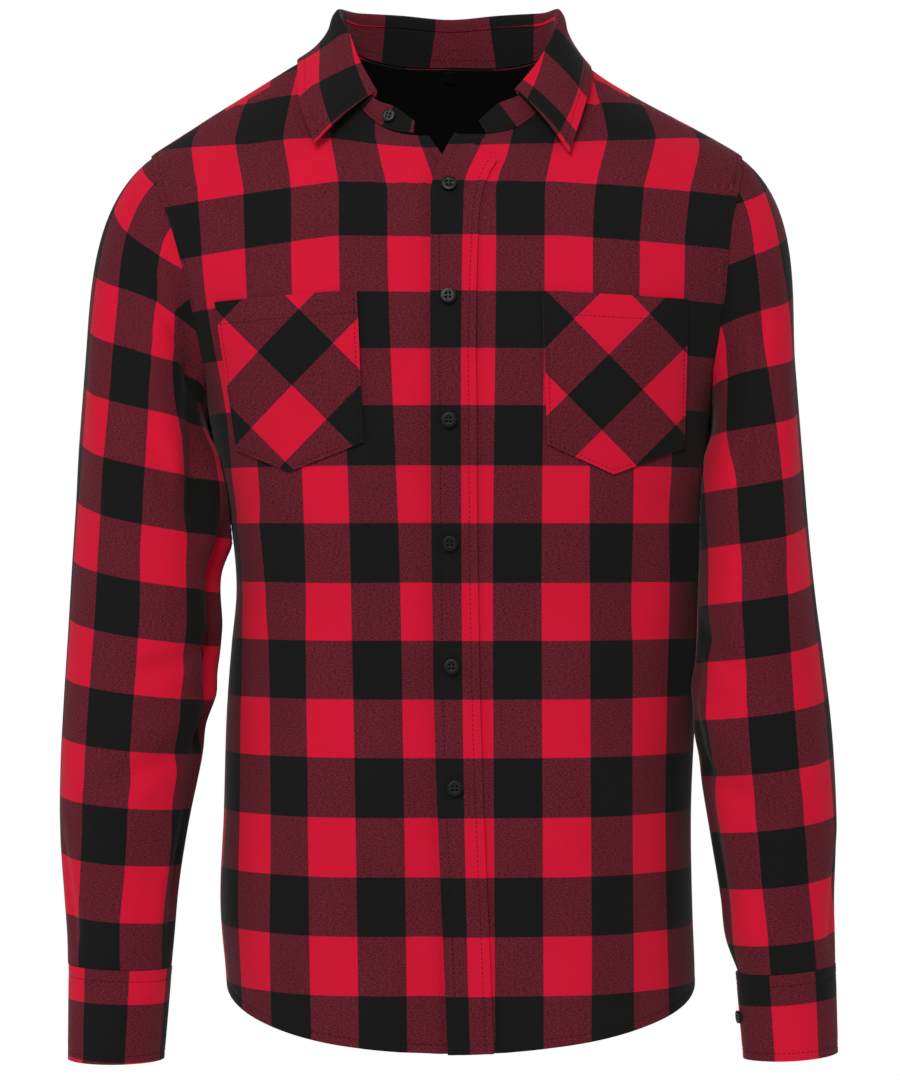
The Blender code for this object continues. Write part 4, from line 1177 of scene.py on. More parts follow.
class Wardrobe:
    """The made materials, and the way a finished piece joins the shirt."""

    def __init__(self) -> None:
        """Makes every finish once."""
        flannel = CheckFlannel().make()
        self.materials = {
            Finish.CHECK: flannel,
            Finish.BIAS: flannel,
            # Colour of the yoke lining and neck loop, set darker than black cotton shows in light:
            # partly real black cotton, partly painted shade for the deep shadow inside the neck.
            Finish.PLAIN: PlainCotton("plain_black_cotton", "#060606").make(),
            Finish.THREAD: PlainCotton("black_sewing_thread", "#240D11", 0.7, 0.3 * MM).make(),
            Finish.BUTTON: MouldedResin().make(),
        }

    def dress(self, piece: Piece, flat: tuple, finish: Finish = Finish.CHECK,
              held: str = "hung", also: tuple = ()) -> None:
        """Args:
            piece: the cloth.
            flat: width and length of its cut.
            finish: its finish.
            held: how it is held; not used.
            also: frame nodes that it stands for beside its own.
        """
        sewn = []
        if piece.seams:
            sewn.append(Thread().sew(piece.node + "_stitches", piece.stitch_rows(),
                                     self.materials[Finish.THREAD]))
            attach(sewn[0], "root")
        thing = piece.build(self.materials[finish])
        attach(thing, "root")
        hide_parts(piece.node, *also)
        area = round(min(piece.area(), flat[0] * flat[1]), 6)
        LOG.info("%s: %d points, %.3f m2", thing.name, piece.points[..., 0].size, area)


# ---------------------------------------------------------------- fronts, back and yoke

@dataclass(frozen=True)
class Fronts:
    """The two fronts, the placket on the left one, and their pockets."""

    form: BodyForm
    wardrobe: Wardrobe
    placket_lift: float = 1.7 * MM
    underlap_drop: float = 2.3 * MM
    underlap_trough: float = 1.6 * MM
    underlap_start: float = 12.0 * MM
    underlap_fade: float = 60.0 * MM
    trough_middle: float = -2.0 * MM
    trough_width: float = 3.0 * MM
    slack_start: float = 2.2 * COLUMN
    slack_ramp: float = 0.8 * COLUMN
    slack_top: float = -0.33
    ease_start: float = 4.5 * COLUMN
    ease_room: float = 0.5 * COLUMN
    pocket_wall: float = 1.2 * MM
    pocket_lift: float = 2.0 * MM
    pocket_steps: int = 44
    band_steps: int = 17
    columns: int = 44
    rows_below: int = 104
    rows_edge: int = 24
    rows_neck: int = 28

    def across(self, side: int, z: float, side_turn: float) -> Array:
        """Turns along a front at height z: its band, then even steps to the side.

        Args:
            side: -1 for the right front, 1 for the left.
            z: the height.
            side_turn: the turn at its side.

        Returns:
            The turns, from its edge to its side.
        """
        edge_x, width = EDGES.read(SIDES[side], z), EDGES.read("band", z)
        band = edge_x + side * width * even(self.band_steps)
        turns = self.form.turn_at_x(band, z)
        rest = mix(turns[-1], side_turn, np.linspace(0.0, 1.0, self.columns))
        return np.concatenate([turns[:-1], rest])

    def neck_turns(self, side: int) -> Array:
        """Turns round the neck at which a front's neckline has its points.

        Args:
            side: -1 for the right front, 1 for the left.

        Returns:
            The turns, from the front's corner to its shoulder.
        """
        corner_x = float(EDGES.read(SIDES[side], self.form.neck_corner))
        share = (abs(corner_x) / self.form.neck_side) ** (self.form.neck_front_square / 2)
        corner = math.copysign(math.degrees(math.asin(share)), corner_x)
        return np.linspace(corner, side * self.form.neck_seam_turn, self.rows_neck + 1)

    def chart(self, side: int) -> tuple:
        """(body turn, z) of a front's grid, from the hem up and its edge to its side.

        Args:
            side: -1 for the right front, 1 for the left.

        Returns:
            The two coordinates of each of the grid's points.
        """
        form = self.form
        armpit = float(form.armhole(side, 180.0)[1])
        neck_turns = self.neck_turns(side)
        corner_z = float(form.neckline(neck_turns[0])[1])
        turns, levels = [], []
        for up in paces(0.03, 7, self.rows_below - 6):
            z = mix(form.hem_front, armpit, up)
            turns.append(self.across(side, z, side * form.side_turn(side, up)))
            levels.append(mix(form.hem(turns[-1]), armpit, up))
        split = mix(180.0, form.front_seam_turn, 6.0 / 13.0)
        lower = np.linspace(180.0, split, self.rows_edge + 1)[1:]
        upper = np.linspace(split, form.front_seam_turn, self.rows_neck + 1)[1:]
        side_turns, side_levels = form.armhole(side, np.concatenate([lower, upper]))
        slope = np.linspace(0.0, 1.0, self.band_steps + self.columns) ** form.row_droop
        for j, up in enumerate(even(self.rows_edge)[1:]):
            z = mix(armpit, corner_z, up)
            turns.append(self.across(side, z, side_turns[j]))
            levels.append(mix(z, side_levels[j], slope))
        shares = paces(0.14, self.band_steps, self.columns)
        edge_points = zip(*form.neckline(neck_turns[1:]))
        for j, (edge_turn, edge_z) in enumerate(edge_points, start=self.rows_edge):
            turns.append(mix(edge_turn, side_turns[j], shares))
            levels.append(mix(edge_z, side_levels[j], shares**form.row_droop))
        return np.array(turns)[:, ::side], np.array(levels)[:, ::side]

    def settle(self, side: int, u: Array, levels: Array) -> Array:
        """Eases the check's columns outward at the side, up to the sleeve's seam.

        Args:
            side: -1 for the right front, 1 for the left.
            u: the check's way across, without folds.
            levels: height of each point.

        Returns:
            The way across, as the cloth has settled.
        """
        here = 1.0
        if side < 0:
            slack = np.interp(levels / MM, *SIDE_SLACK) * MM
            u = u - slack * ease((u - self.slack_start) / self.slack_ramp)
            here = ease((levels - self.slack_top) / (60.0 * MM))
        over = np.maximum(u - self.ease_start, 0.0)
        eased = self.ease_room * (1.0 - np.exp(-over / self.ease_room))
        return u + (eased - over) * here

    def check(self, side: int, turns: Array, levels: Array, x: Array) -> tuple:
        """Where the check's columns and rows fall on a front.

        Args:
            side: -1 for the right front, 1 for the left.
            turns, levels, x: the place of each point.

        Returns:
            The check's two coordinates at each point.
        """
        form = self.form

        def way(line: str) -> Array:
            """Length of cloth from the front's middle to one of the check's lines.

            Args:
                line: the line's name.

            Returns:
                The length at each height.
            """
            return form.way_round(form.turn_at_x(CHECK_LINES.read(line, levels), levels), levels)

        start = way(SIDES[side])
        u = side * (form.way_round(turns, levels) - start) - form.lean(x, levels)
        if side > 0:
            split = way("placket") - start - form.lean(CHECK_LINES.read("placket", levels), levels)
            split = np.minimum(split, -1.0 * MM)
            above = np.arange(len(levels))[:, None] >= self.rows_below + self.rows_edge
            drawn = np.where(u < split, u - split - COLUMN, -u * COLUMN / split)
            u = np.where(above & (u < 0.0), drawn, u)
        return self.settle(side, u, levels), form.row_height(-1, x, levels)

    def underlap(self, lap: Array) -> Array:
        """Lift of the right front, which sinks to pass under the left one's edge.

        Args:
            lap: how far each point lies from the left front's edge.

        Returns:
            The lift of each point.
        """
        fade = ease(1.0 + (lap + self.underlap_start) / self.underlap_fade)
        trough = np.exp(-(((lap - self.trough_middle) / self.trough_width) ** 2))
        return -self.underlap_drop * fade - self.underlap_trough * trough

    def build(self) -> None:
        """Builds both fronts, the placket and the pockets."""
        for side, name in SIDES.items():
            turns, levels = self.chart(side)
            points, normals = self.form.point(turns, levels), self.form.normal(turns, levels)
            x = points[..., 0]
            lift = self.underlap(x - EDGES.read("left", levels)) if side < 0 else 0.0
            front = Piece("front_" + name, points, normals,
                          self.check(side, turns, levels, x), lift=lift)
            armhole, edge = (Edge.START, Edge.END)[::-side]
            front.seam(Edge.BOTTOM, 6.7)
            front.seam(armhole, 5.5, False, slice(self.rows_below, None))
            if side < 0:
                front.seam(edge, 6.0, False, slice(self.rows_below, -self.rows_neck))
            else:
                for dent in ((7.0,), (28.0,), (36.0, 2.4, 2.2), (43.0, -0.7, 3.5)):
                    front.sink(edge, *dent)
            self.wardrobe.dress(front, (0.30, 0.78))
            if side > 0:
                self.build_placket(points, normals, levels)
            self.build_pocket(side, name)

    def build_placket(self, *grids: Array) -> None:
        """Builds the placket from the points, normals and levels of the left front.

        Args:
            grids: three grids of the same size.
        """
        points, normals, levels = [grid[:self.rows_below + self.rows_edge + 1,
                                        :self.band_steps + 1] for grid in grids]
        x = points[..., 0]
        check = (CHECK_LINES.read("placket", levels) - x, self.form.row_height(-1, x, levels))
        strip = Piece("placket", points, normals, check, lift=self.placket_lift)
        strip.seam(Edge.START, 7.0)
        strip.seam(Edge.END, 6.0)
        strip.sink(Edge.END, 1.5, -0.9, 2.6)
        self.wardrobe.dress(strip, (0.036, 0.71))

    def build_pocket(self, side: int, name: str) -> None:
        """Builds one patch pocket, cut on the bias, with its pointed bottom.

        Args:
            side: -1 for the right pocket, 1 for the left.
            name: the side's name.
        """
        corner = {key: np.array(value) * MM for key, value in POCKETS[name].items()}
        begin, end = ("_middle", "_side")[::side]
        shares = even(self.pocket_steps)
        top = mix(corner["top" + begin], corner["top" + end], shares[:, None])
        ends = np.stack([corner["bottom" + begin], corner["point"], corner["bottom" + end]])
        bottom = np.stack([np.interp(shares, (0.0, 0.5, 1.0), way) for way in ends.T], axis=-1)
        flat = mix(bottom[None], top[None], shares[:, None, None])
        x, z = flat[..., 0], flat[..., 1]
        turns = self.form.turn_at_x(x, z)
        away = (flat - corner["diamond"]) / math.sqrt(2.0)
        check = (away[..., 0] - away[..., 1] + COLUMN / 2, away[..., 0] + away[..., 1] + ROW / 2)
        pocket = Piece("pocket_" + name, self.form.point(turns, z), self.form.normal(turns, z),
                       check, self.pocket_wall, self.pocket_lift)
        for edge in (Edge.START, Edge.BOTTOM, Edge.END):
            pocket.seam(edge, 3.0)
        pocket.seam(Edge.TOP, 17.0, False)
        self.wardrobe.dress(pocket, (0.12, 0.15), Finish.BIAS)


@dataclass(frozen=True)
class BackAndYoke:
    """The back, the yoke over the shoulders, its plain lining, and the size loop."""

    form: BodyForm
    wardrobe: Wardrobe
    lining_drop: float = 1.72 * MM
    loop_drop: float = 3.52 * MM
    loop_wall: float = 1.0 * MM
    columns: int = 92
    rows_below: int = 104
    rows_above: int = 30
    end_steps: int = 16
    seam_steps: int = 70
    band_steps: int = 8
    share_steps: int = 30

    def build(self) -> None:
        """Builds the pieces."""
        self.build_back()
        self.build_yokes()
        self.build_loop()

    def build_back(self) -> None:
        """Builds the back, from its hem to the seam under the yoke."""
        form = self.form
        armpit = float(form.armhole(1, 180.0)[1])
        shares = even(self.columns)
        turns, levels = [], []
        for up in paces(0.03, 7, self.rows_below - 6):
            turns.append(mix(form.side_turn(1, up), 360.0 - form.side_turn(-1, up), shares))
            levels.append(mix(form.hem(180.0 - np.abs(turns[-1] - 180.0)), armpit, up))
        loop = np.linspace(-180.0, form.back_seam_turn, self.rows_above + 1)[1:, None]
        left_turns, z = form.armhole(1, loop)
        turns.extend(mix(left_turns, form.armhole(-1, loop)[0] + 360.0, shares))
        levels.extend(z + 0.0 * shares)
        turns, levels = np.array(turns), np.array(levels)
        points = form.point(turns, levels)
        u = form.way_round(turns, levels) - form.way_round(180.0 + 0.0 * turns, levels)
        check = (u + COLUMN / 2, form.row_height(1, points[..., 0], levels))
        back = Piece("back", points, form.normal(turns, levels), check)
        back.seam(Edge.BOTTOM, 6.7)
        for edge in (Edge.START, Edge.END):
            back.seam(edge, 5.5, False, slice(self.rows_below, None))
        self.wardrobe.dress(back, (0.56, 0.69))

    def yoke_chart(self) -> tuple:
        """(body turn, z) of the yoke's grid, from its outer edge in to the neckline.

        Returns:
            The two coordinates of each of the grid's points.
        """
        form = self.form
        ends = np.linspace(form.front_seam_turn, form.back_seam_turn, self.end_steps + 1)
        left_turns, left_levels = form.armhole(1, ends)
        right_turns, right_levels = form.armhole(-1, ends[::-1])
        shares = even(self.seam_steps)[1:-1]
        seam_turns = mix(left_turns[-1], right_turns[0] + 360.0, shares)
        outer_turns = np.concatenate([left_turns, seam_turns, right_turns + 360.0])
        outer_levels = np.concatenate([left_levels, left_levels[-1] + 0.0 * shares,
                                       right_levels])
        neck = form.neck_seam_turn
        inner_turns, inner_levels = form.neckline(np.linspace(neck, 360.0 - neck,
                                                              len(outer_turns)))
        inner_turns = np.where(inner_turns < 0, inner_turns + 360.0, inner_turns)
        shares = paces(0.14, self.band_steps, self.share_steps)[::-1, None]
        return (mix(inner_turns, outer_turns, shares),
                mix(inner_levels, outer_levels, shares**form.row_droop))

    def build_yokes(self) -> None:
        """Builds the yoke and its lining."""
        form = self.form
        turns, levels = self.yoke_chart()
        points, normals = form.point(turns, levels), form.normal(turns, levels)
        x = points[..., 0]
        seam, top = np.full(x.shape, levels[0, self.end_steps]), np.full(x.shape, 0.036)
        over = form.way_up(1, x, seam, top) + form.way_up(-1, x, levels, top)
        v = np.where(points[..., 1] > 0, form.way_up(1, x, seam, levels), over)
        yoke = Piece("yoke", points, normals, (x * 1.05, v))
        yoke.seam(Edge.BOTTOM, 3.0, False)
        self.wardrobe.dress(yoke, (0.50, 0.19))
        lining = Piece("yoke_lining", points, normals, (x, v), lift=-self.lining_drop)
        self.wardrobe.dress(lining, (0.50, 0.19), Finish.PLAIN)

    def build_loop(self) -> None:
        """Builds the bare size loop inside the back neck."""
        turns, levels = np.meshgrid(np.linspace(177.7, 182.3, 7), np.linspace(0.0055, 0.0135, 7))
        points = self.form.point(turns, levels)
        loop = Piece("neck_loop", points, self.form.normal(turns, levels),
                     (points[..., 0], levels), self.loop_wall, -self.loop_drop)
        self.wardrobe.dress(loop, (0.011, 0.011), Finish.PLAIN, "folded")


# ---------------------------------------------------------------- collar

@dataclass(frozen=True)
class Collar:
    """The stand on the neckline and the leaf turned down over it."""

    form: BodyForm
    wardrobe: Wardrobe
    stand_wall: float = 1.8 * MM
    leaf_wall: float = 1.6 * MM
    crest: float = 3.0 * MM
    spread: float = 4.0 * MM
    row_ease: float = 45.0 * MM
    stand_rows: int = 9
    steps: int = 110
    leaf_rows: int = 30

    def line(self, name: str, turns: Array) -> Array:
        """The fold or the outer edge at turns round the neck."""
        return np.stack([COLLAR.at(name + axis, turns) * MM for axis in "xyz"], axis=-1)

    def neck(self, turns: Array) -> Array:
        """Points of the neckline's seam."""
        return self.form.point(*self.form.neckline(turns))

    def stand_top(self, turns: Array) -> Array:
        """The stand's upper edge, from its left end to its right end.

        Args:
            turns: turns round the neck.

        Returns:
            The point at each turn.
        """
        keys, ends = COLLAR.column("turn"), np.array(STAND_ENDS.rows, dtype=float)
        fold = self.line("fold_", keys)
        top = fold - unit(fold - self.neck(keys)) * COLLAR.column("drop")[:, None] * MM
        rows = np.concatenate([ends[:2], np.column_stack([keys, top / MM]), ends[2:]])
        return np.stack([smooth(rows[:, 0], way * MM, turns) for way in rows.T[1:]], axis=-1)

    def rows_at(self, turns: Array, share: Array) -> Array:
        """Where the check's rows fall, from the fold (share 0) to the edge (share 1)."""
        return mix(COLLAR_CHECK.at("row_fold", turns), COLLAR_CHECK.at("row_edge", turns),
                   share) * MM

    def build(self) -> None:
        """Builds the stand and the leaf."""
        self.build_stand()
        self.build_leaf()

    def build_stand(self) -> None:
        """Builds the stand, its lower edge over the neckline's seam."""
        turns = np.linspace(10.0, 350.0, self.steps + 1)
        seam, top = self.neck(turns), self.stand_top(turns)
        up = unit(top - seam)
        bottom = seam + (up + self.form.normal(*self.form.neckline(turns))) * 0.5 * MM
        shares = np.linspace(0.0, 1.0, self.stand_rows)[:, None]
        grid = mix(bottom[None], top[None], shares[..., None])
        u = COLUMN - 1.0 * MM - shares * np.linalg.norm(top - bottom, axis=-1)
        stand = Piece("collar_stand", grid, grid_normals(grid), (u, self.rows_at(turns, 0.0)),
                      self.stand_wall)
        stand.seam(Edge.BOTTOM, 6.0, False, inside=True)
        stand.seam(Edge.BOTTOM, 3.0, False)
        self.wardrobe.dress(stand, (0.47, 0.036), held="folded")

    def build_leaf(self) -> None:
        """Builds the leaf: its inner leg, the fold, and the part turned down."""
        turns = np.linspace(44.0, 316.0, self.steps + 1)
        fold, rim, top = self.line("fold_", turns), self.line("edge_", turns), self.stand_top(turns)
        along = unit(np.gradient(fold, axis=0))
        out = unit(np.stack([along[:, 1], -along[:, 0], np.zeros(len(fold))], axis=-1))
        up, leg = np.cross(out, along), unit(fold - top)
        inner = unit(np.cross(np.gradient(top, axis=0), leg)) * self.stand_wall
        rows = [top + leg * 0.6 * MM - inner, fold - leg * self.crest - inner,
                fold + out * 0.25 * self.spread]
        start = fold - up * self.crest + out * self.spread
        bulge = COLLAR.at("bulge", turns)[:, None] * MM
        for share in (0.0, 0.3, 0.65, 1.0):
            swell = 4.0 * share * (1.0 - share) * bulge
            rows.append(mix(start, rim, share) + (out + 0.6 * up) * swell)
        rows = np.array(rows)
        ways = lengths(rows).mean(axis=1)
        fine = paces(ways[3], 9, self.leaf_rows - 9, ways[-1])
        flat = [smooth(ways, way, fine) for way in rows.reshape(len(rows), -1).T]
        grid = np.stack(flat, axis=-1).reshape(len(fine), len(turns), 3)[::-1]
        way = lengths(grid)
        past = way[len(fine) - 1 - int(np.argmin(np.abs(fine - ways[2])))] - way
        u = past * COLLAR_CHECK.at("stretch", turns) - COLLAR_CHECK.at("strip", turns) * MM
        v = self.rows_at(turns, np.clip(past / self.row_ease, 0.0, 1.0))
        leaf = Piece("collar_leaf", grid, grid_normals(grid), (u, v), self.leaf_wall)
        leaf.seam(Edge.BOTTOM, 7.0)
        for edge in (Edge.START, Edge.END):
            leaf.seam(edge, 7.0, part=slice(None, -12))
        self.wardrobe.dress(leaf, (0.50, 0.075), held="folded")


# ---------------------------------------------------------------- sleeves and cuffs

@dataclass(frozen=True)
class Arm:
    """One sleeve with its cuff; it also stands for the binding of its slit, which is not built."""

    form: BodyForm
    wardrobe: Wardrobe
    side: int
    sections: Table
    folds: Table
    check_lines: Table
    check_tilt: Table
    cuff_top: tuple
    cuff_bottom: tuple
    cuff_start: float
    row_start: float
    cuff_columns: float
    cuff_rows: float
    wall: float = 1.4 * MM
    cuff_wall: float = 2.0 * MM
    cuff_lap: float = 26.0
    cuff_rise: float = 44.0
    lap_gap: float = 0.9 * MM
    girth: float = 1.0          # millimetres of cloth to a degree round the sleeve
    length: float = 600.0       # millimetres of cloth along it
    seam_out: float = 0.42 * MM
    seam_tuck: float = 0.25 * MM
    cap_leave: float = 1.1
    cap_arrive: float = 0.9
    cap_rows: int = 24
    rows: int = 92
    cuff_steps: int = 104
    cuff_levels: int = 27

    def section(self, sizes: Array, turns: Array) -> Array:
        """Points of a section from its seven sizes in millimetres.

        Args:
            sizes: the sizes, in the order of the columns of SECTION.
            turns: turns round the sleeve.

        Returns:
            The point at each turn.
        """
        z, outer, inner, rise, deep, half_depth, press = [size * MM for size in sizes]
        sine, cosine = waves(turns)
        swell = press * np.clip(-cosine, 0.0, 1.0) ** 2
        x = self.side * (0.5 * (outer + inner) + 0.5 * (outer - inner) * cosine - swell)
        return np.stack([x, deep - half_depth * sine, z + 0.5 * rise * cosine], axis=-1)

    def push(self, along: Array, turns: Array) -> Array:
        """How far the folds push the cloth out.

        Args:
            along: how far down the sleeve, from 0 to 1.
            turns: turns round it.

        Returns:
            The push at each place, in metres.
        """
        total = 0.0
        for along0, turn0, along1, turn1, width, depth in self.folds.rows:
            middle = 0.5 * (turn0 + turn1)
            around = (turns - middle + 180.0) % 360.0 - 180.0
            line = (along0 * self.length, (turn0 - middle) * self.girth,
                    along1 * self.length, (turn1 - middle) * self.girth)
            total = total + ridges([(*line, width, depth)], along * self.length,
                                   around * self.girth)
        return total

    def clear(self, grid: Array, clearance: Array) -> Array:
        """Moves points that lie past the armhole out of the body, sideways.

        Args:
            grid: the points.
            clearance: how far from the body they have to stay.

        Returns:
            The points, moved where they need to be.
        """
        form = self.form
        x, y, z = np.moveaxis(grid, -1, 0)
        ring = form.ring(z)
        y = y - ring.middle
        reach = np.where(y < 0, form.armhole_front, form.armhole_back)
        past = (y / reach) ** 2 + ((z - form.armhole_middle) / form.armhole_radius) ** 2 > 1.0
        needed = ring.half(x) * ring.other(np.abs(y) / ring.depth(y > 0)) + clearance
        across = np.where(past, np.maximum(np.abs(x), needed), np.abs(x))
        return np.stack([np.sign(x) * across, grid[..., 1], z], axis=-1)

    def turns(self) -> Array:
        """Turns round the armhole, from its front underside over the top and back.

        Returns:
            The turns, in degrees.
        """
        front, back = self.form.front_seam_turn, self.form.back_seam_turn
        return np.concatenate([np.linspace(180.0, front, 53), np.linspace(front, back, 17)[1:],
                               np.linspace(back, -180.0, 41)[1:-1]])

    def grid(self) -> tuple:
        """The sleeve's points from the cuff seam up to the armhole, and its turns.

        Returns:
            The grid and the turn of each of its columns.
        """
        form, side, turns = self.form, self.side, self.turns()
        loop, (sine, cosine) = form.point(*form.armhole(side, turns)), waves(turns)
        leave = unit(np.stack([side * (0.55 + 0.25 * cosine), -0.12 * sine,
                               -0.80 + 0.22 * cosine], axis=-1))
        outward = unit(leave + np.array([side, 0.0, 0.0]))
        tucked = loop - form.normal(*form.armhole(side, turns)) * (self.wall + self.seam_tuck)
        under = ease((cosine + 0.75) / 0.5)[:, None]
        start = mix(loop + outward * self.seam_out, tucked, under)
        keys = self.sections.column("z")
        levels = np.linspace(keys[-1], keys[0], self.rows)
        sizes = np.stack([self.sections.at(name, levels) for name in SECTION.split()], axis=-1)
        sections = np.array([self.section(row, turns) for row in sizes])
        first = sections[0]
        reach = np.linalg.norm(first - start, axis=-1, keepdims=True)
        share = even(self.cap_rows)[:-1, None, None]
        arrive = unit(sections[7] - first)
        ways = (leave * reach * self.cap_leave, arrive * reach * self.cap_arrive)
        cap = hermite(share, (start, first), ways)
        grid = np.concatenate([cap, sections])
        along = lengths(grid).mean(axis=1)[:, None]
        along = along / along[-1]
        push = self.push(along, turns) * ease(along / 0.12) * ease((1.0 - along) / 0.05)
        grid, push, along = grid[::-1, ::side], push[::-1, ::side], along[::-1]
        normals = grid_normals(grid, closed=True)
        crease = ridges(CAP_CREASES.rows, grid[..., 0] / MM, grid[..., 2] / MM)
        push = push + crease * np.clip(-normals[..., 1], 0.0, 1.0) * ease(along / 0.05)
        clearance = mix(0.5 * MM, 1.4 * MM, ease(along / 0.04))
        return self.clear(grid + normals * push[..., None], clearance), turns[::side]

    def check(self, grid: Array, turns: Array) -> tuple:
        """Where the check falls: columns from a line down the front, rows from the cuff.

        The cloth's grain lies level round the sleeve but for a tilt, steep at the cap.

        Args:
            grid: the sleeve's points.
            turns: the turn of each of the grid's columns.

        Returns:
            The check's two coordinates at each point, the first column repeated last.
        """
        inward = -float(self.side)
        ring = np.concatenate([grid, grid[:, :1]], axis=1)
        normals = grid_normals(grid, closed=True)
        normals = np.concatenate([normals, normals[:, :1]], axis=1)
        level = unit(np.stack([-normals[..., 1], normals[..., 0], 0 * normals[..., 0]], axis=-1))
        up = np.cross(normals, level)
        tilt, narrow, crowd = [self.check_tilt.at(name, ring[..., 2] / MM)
                               for name in ("tilt", "narrow", "crowd")]
        facing = -waves(np.append(turns, turns[0]))[1]
        share = 1.0 - 0.6 * np.clip(facing, 0.0, 1.0) + 0.3 * np.clip(-facing, 0.0, 1.0)
        sine, cosine = waves(tilt * mix(1.0, share, ease((-0.15 - ring[..., 2]) / 0.03)))
        sine, cosine = inward * sine[..., None], cosine[..., None]
        front = np.flatnonzero((turns > 5.0) & (turns < 175.0))
        wanted = np.abs(self.check_lines.read("x", grid[:, front, 2]))
        beyond = np.abs(grid[:, front, 0]) - wanted
        spots = np.array([np.interp(0.0, row[order], front[order])
                          for row, order in zip(beyond, np.argsort(beyond, axis=1))])
        spots = np.convolve(np.pad(spots, 4, mode="edge"), np.ones(9) / 9.0, mode="valid")

        def at_line(values: Array) -> Array:
            """Reads a value of each row where the line down the front crosses it.

            Args:
                values: a grid of values.

            Returns:
                One value for each row.
            """
            columns = np.arange(values.shape[1])
            return np.array([np.interp(s, columns, row) for s, row in zip(spots, values)])

        ways = []
        for way in (cosine * level - sine * up, sine * level + cosine * up):
            part = (0.5 * (way[:, 1:] + way[:, :-1]) * np.diff(ring, axis=1)).sum(axis=-1)
            total = np.pad(np.cumsum(part, axis=1), ((0, 0), (1, 0)))
            ways.append(total - at_line(total)[:, None])
        line = np.stack([at_line(ring[..., i]) for i in range(3)], axis=-1)
        u = inward * ways[0]
        u = np.where(u > 0.0, u * narrow, u)
        u = u + crowd * COLUMN * np.interp(u / COLUMN, (1.0, 1.53, 3.2), (0.0, 0.47, 0.0))
        return u, ways[1] + lengths(line)[:, None] + self.row_start

    def build(self) -> None:
        """Builds the sleeve and the cuff."""
        name = SIDES[self.side]
        grid, turns = self.grid()
        sleeve = Piece("sleeve_" + name, grid, grid_normals(grid, closed=True),
                       self.check(grid, turns), self.wall, closed=True)
        self.wardrobe.dress(sleeve, (0.44, 0.62), also=("sleeve_placket_" + name,))
        self.build_cuff(name)

    def build_cuff(self, name: str) -> None:
        """Builds the cuff, a band whose end laps over its start.

        Args:
            name: the side's name.
        """
        sweep = np.linspace(0.0, 360.0 + self.cuff_lap, self.cuff_steps + 1)[::-self.side]
        ups = np.linspace(0.0, 1.0, self.cuff_levels)
        top, bottom = np.array(self.cuff_top), np.array(self.cuff_bottom)
        turns = self.cuff_start + sweep
        grid = np.array([self.section(mix(bottom, top, up), turns) for up in ups])
        rising = (sweep - (360.0 - self.cuff_rise)) / self.cuff_rise
        around = lengths(grid[-1])
        spot = int(np.argmin(np.abs(turns % 360.0 - 90.0)))
        height = np.linalg.norm(grid[-1] - grid[0], axis=-1)
        check = (around - around[spot] + self.cuff_columns,
                 self.cuff_rows - (1.0 - ups[:, None]) * height)
        cuff = Piece("cuff_" + name, grid, grid_normals(grid), check, self.cuff_wall,
                     (self.cuff_wall + self.lap_gap) * ease(rising))
        cuff.seam(Edge.TOP, 8.5)
        cuff.seam(Edge.BOTTOM, 6.0)
        self.wardrobe.dress(cuff, (0.27, 0.072), held="folded")


# ---------------------------------------------------------------- buttons

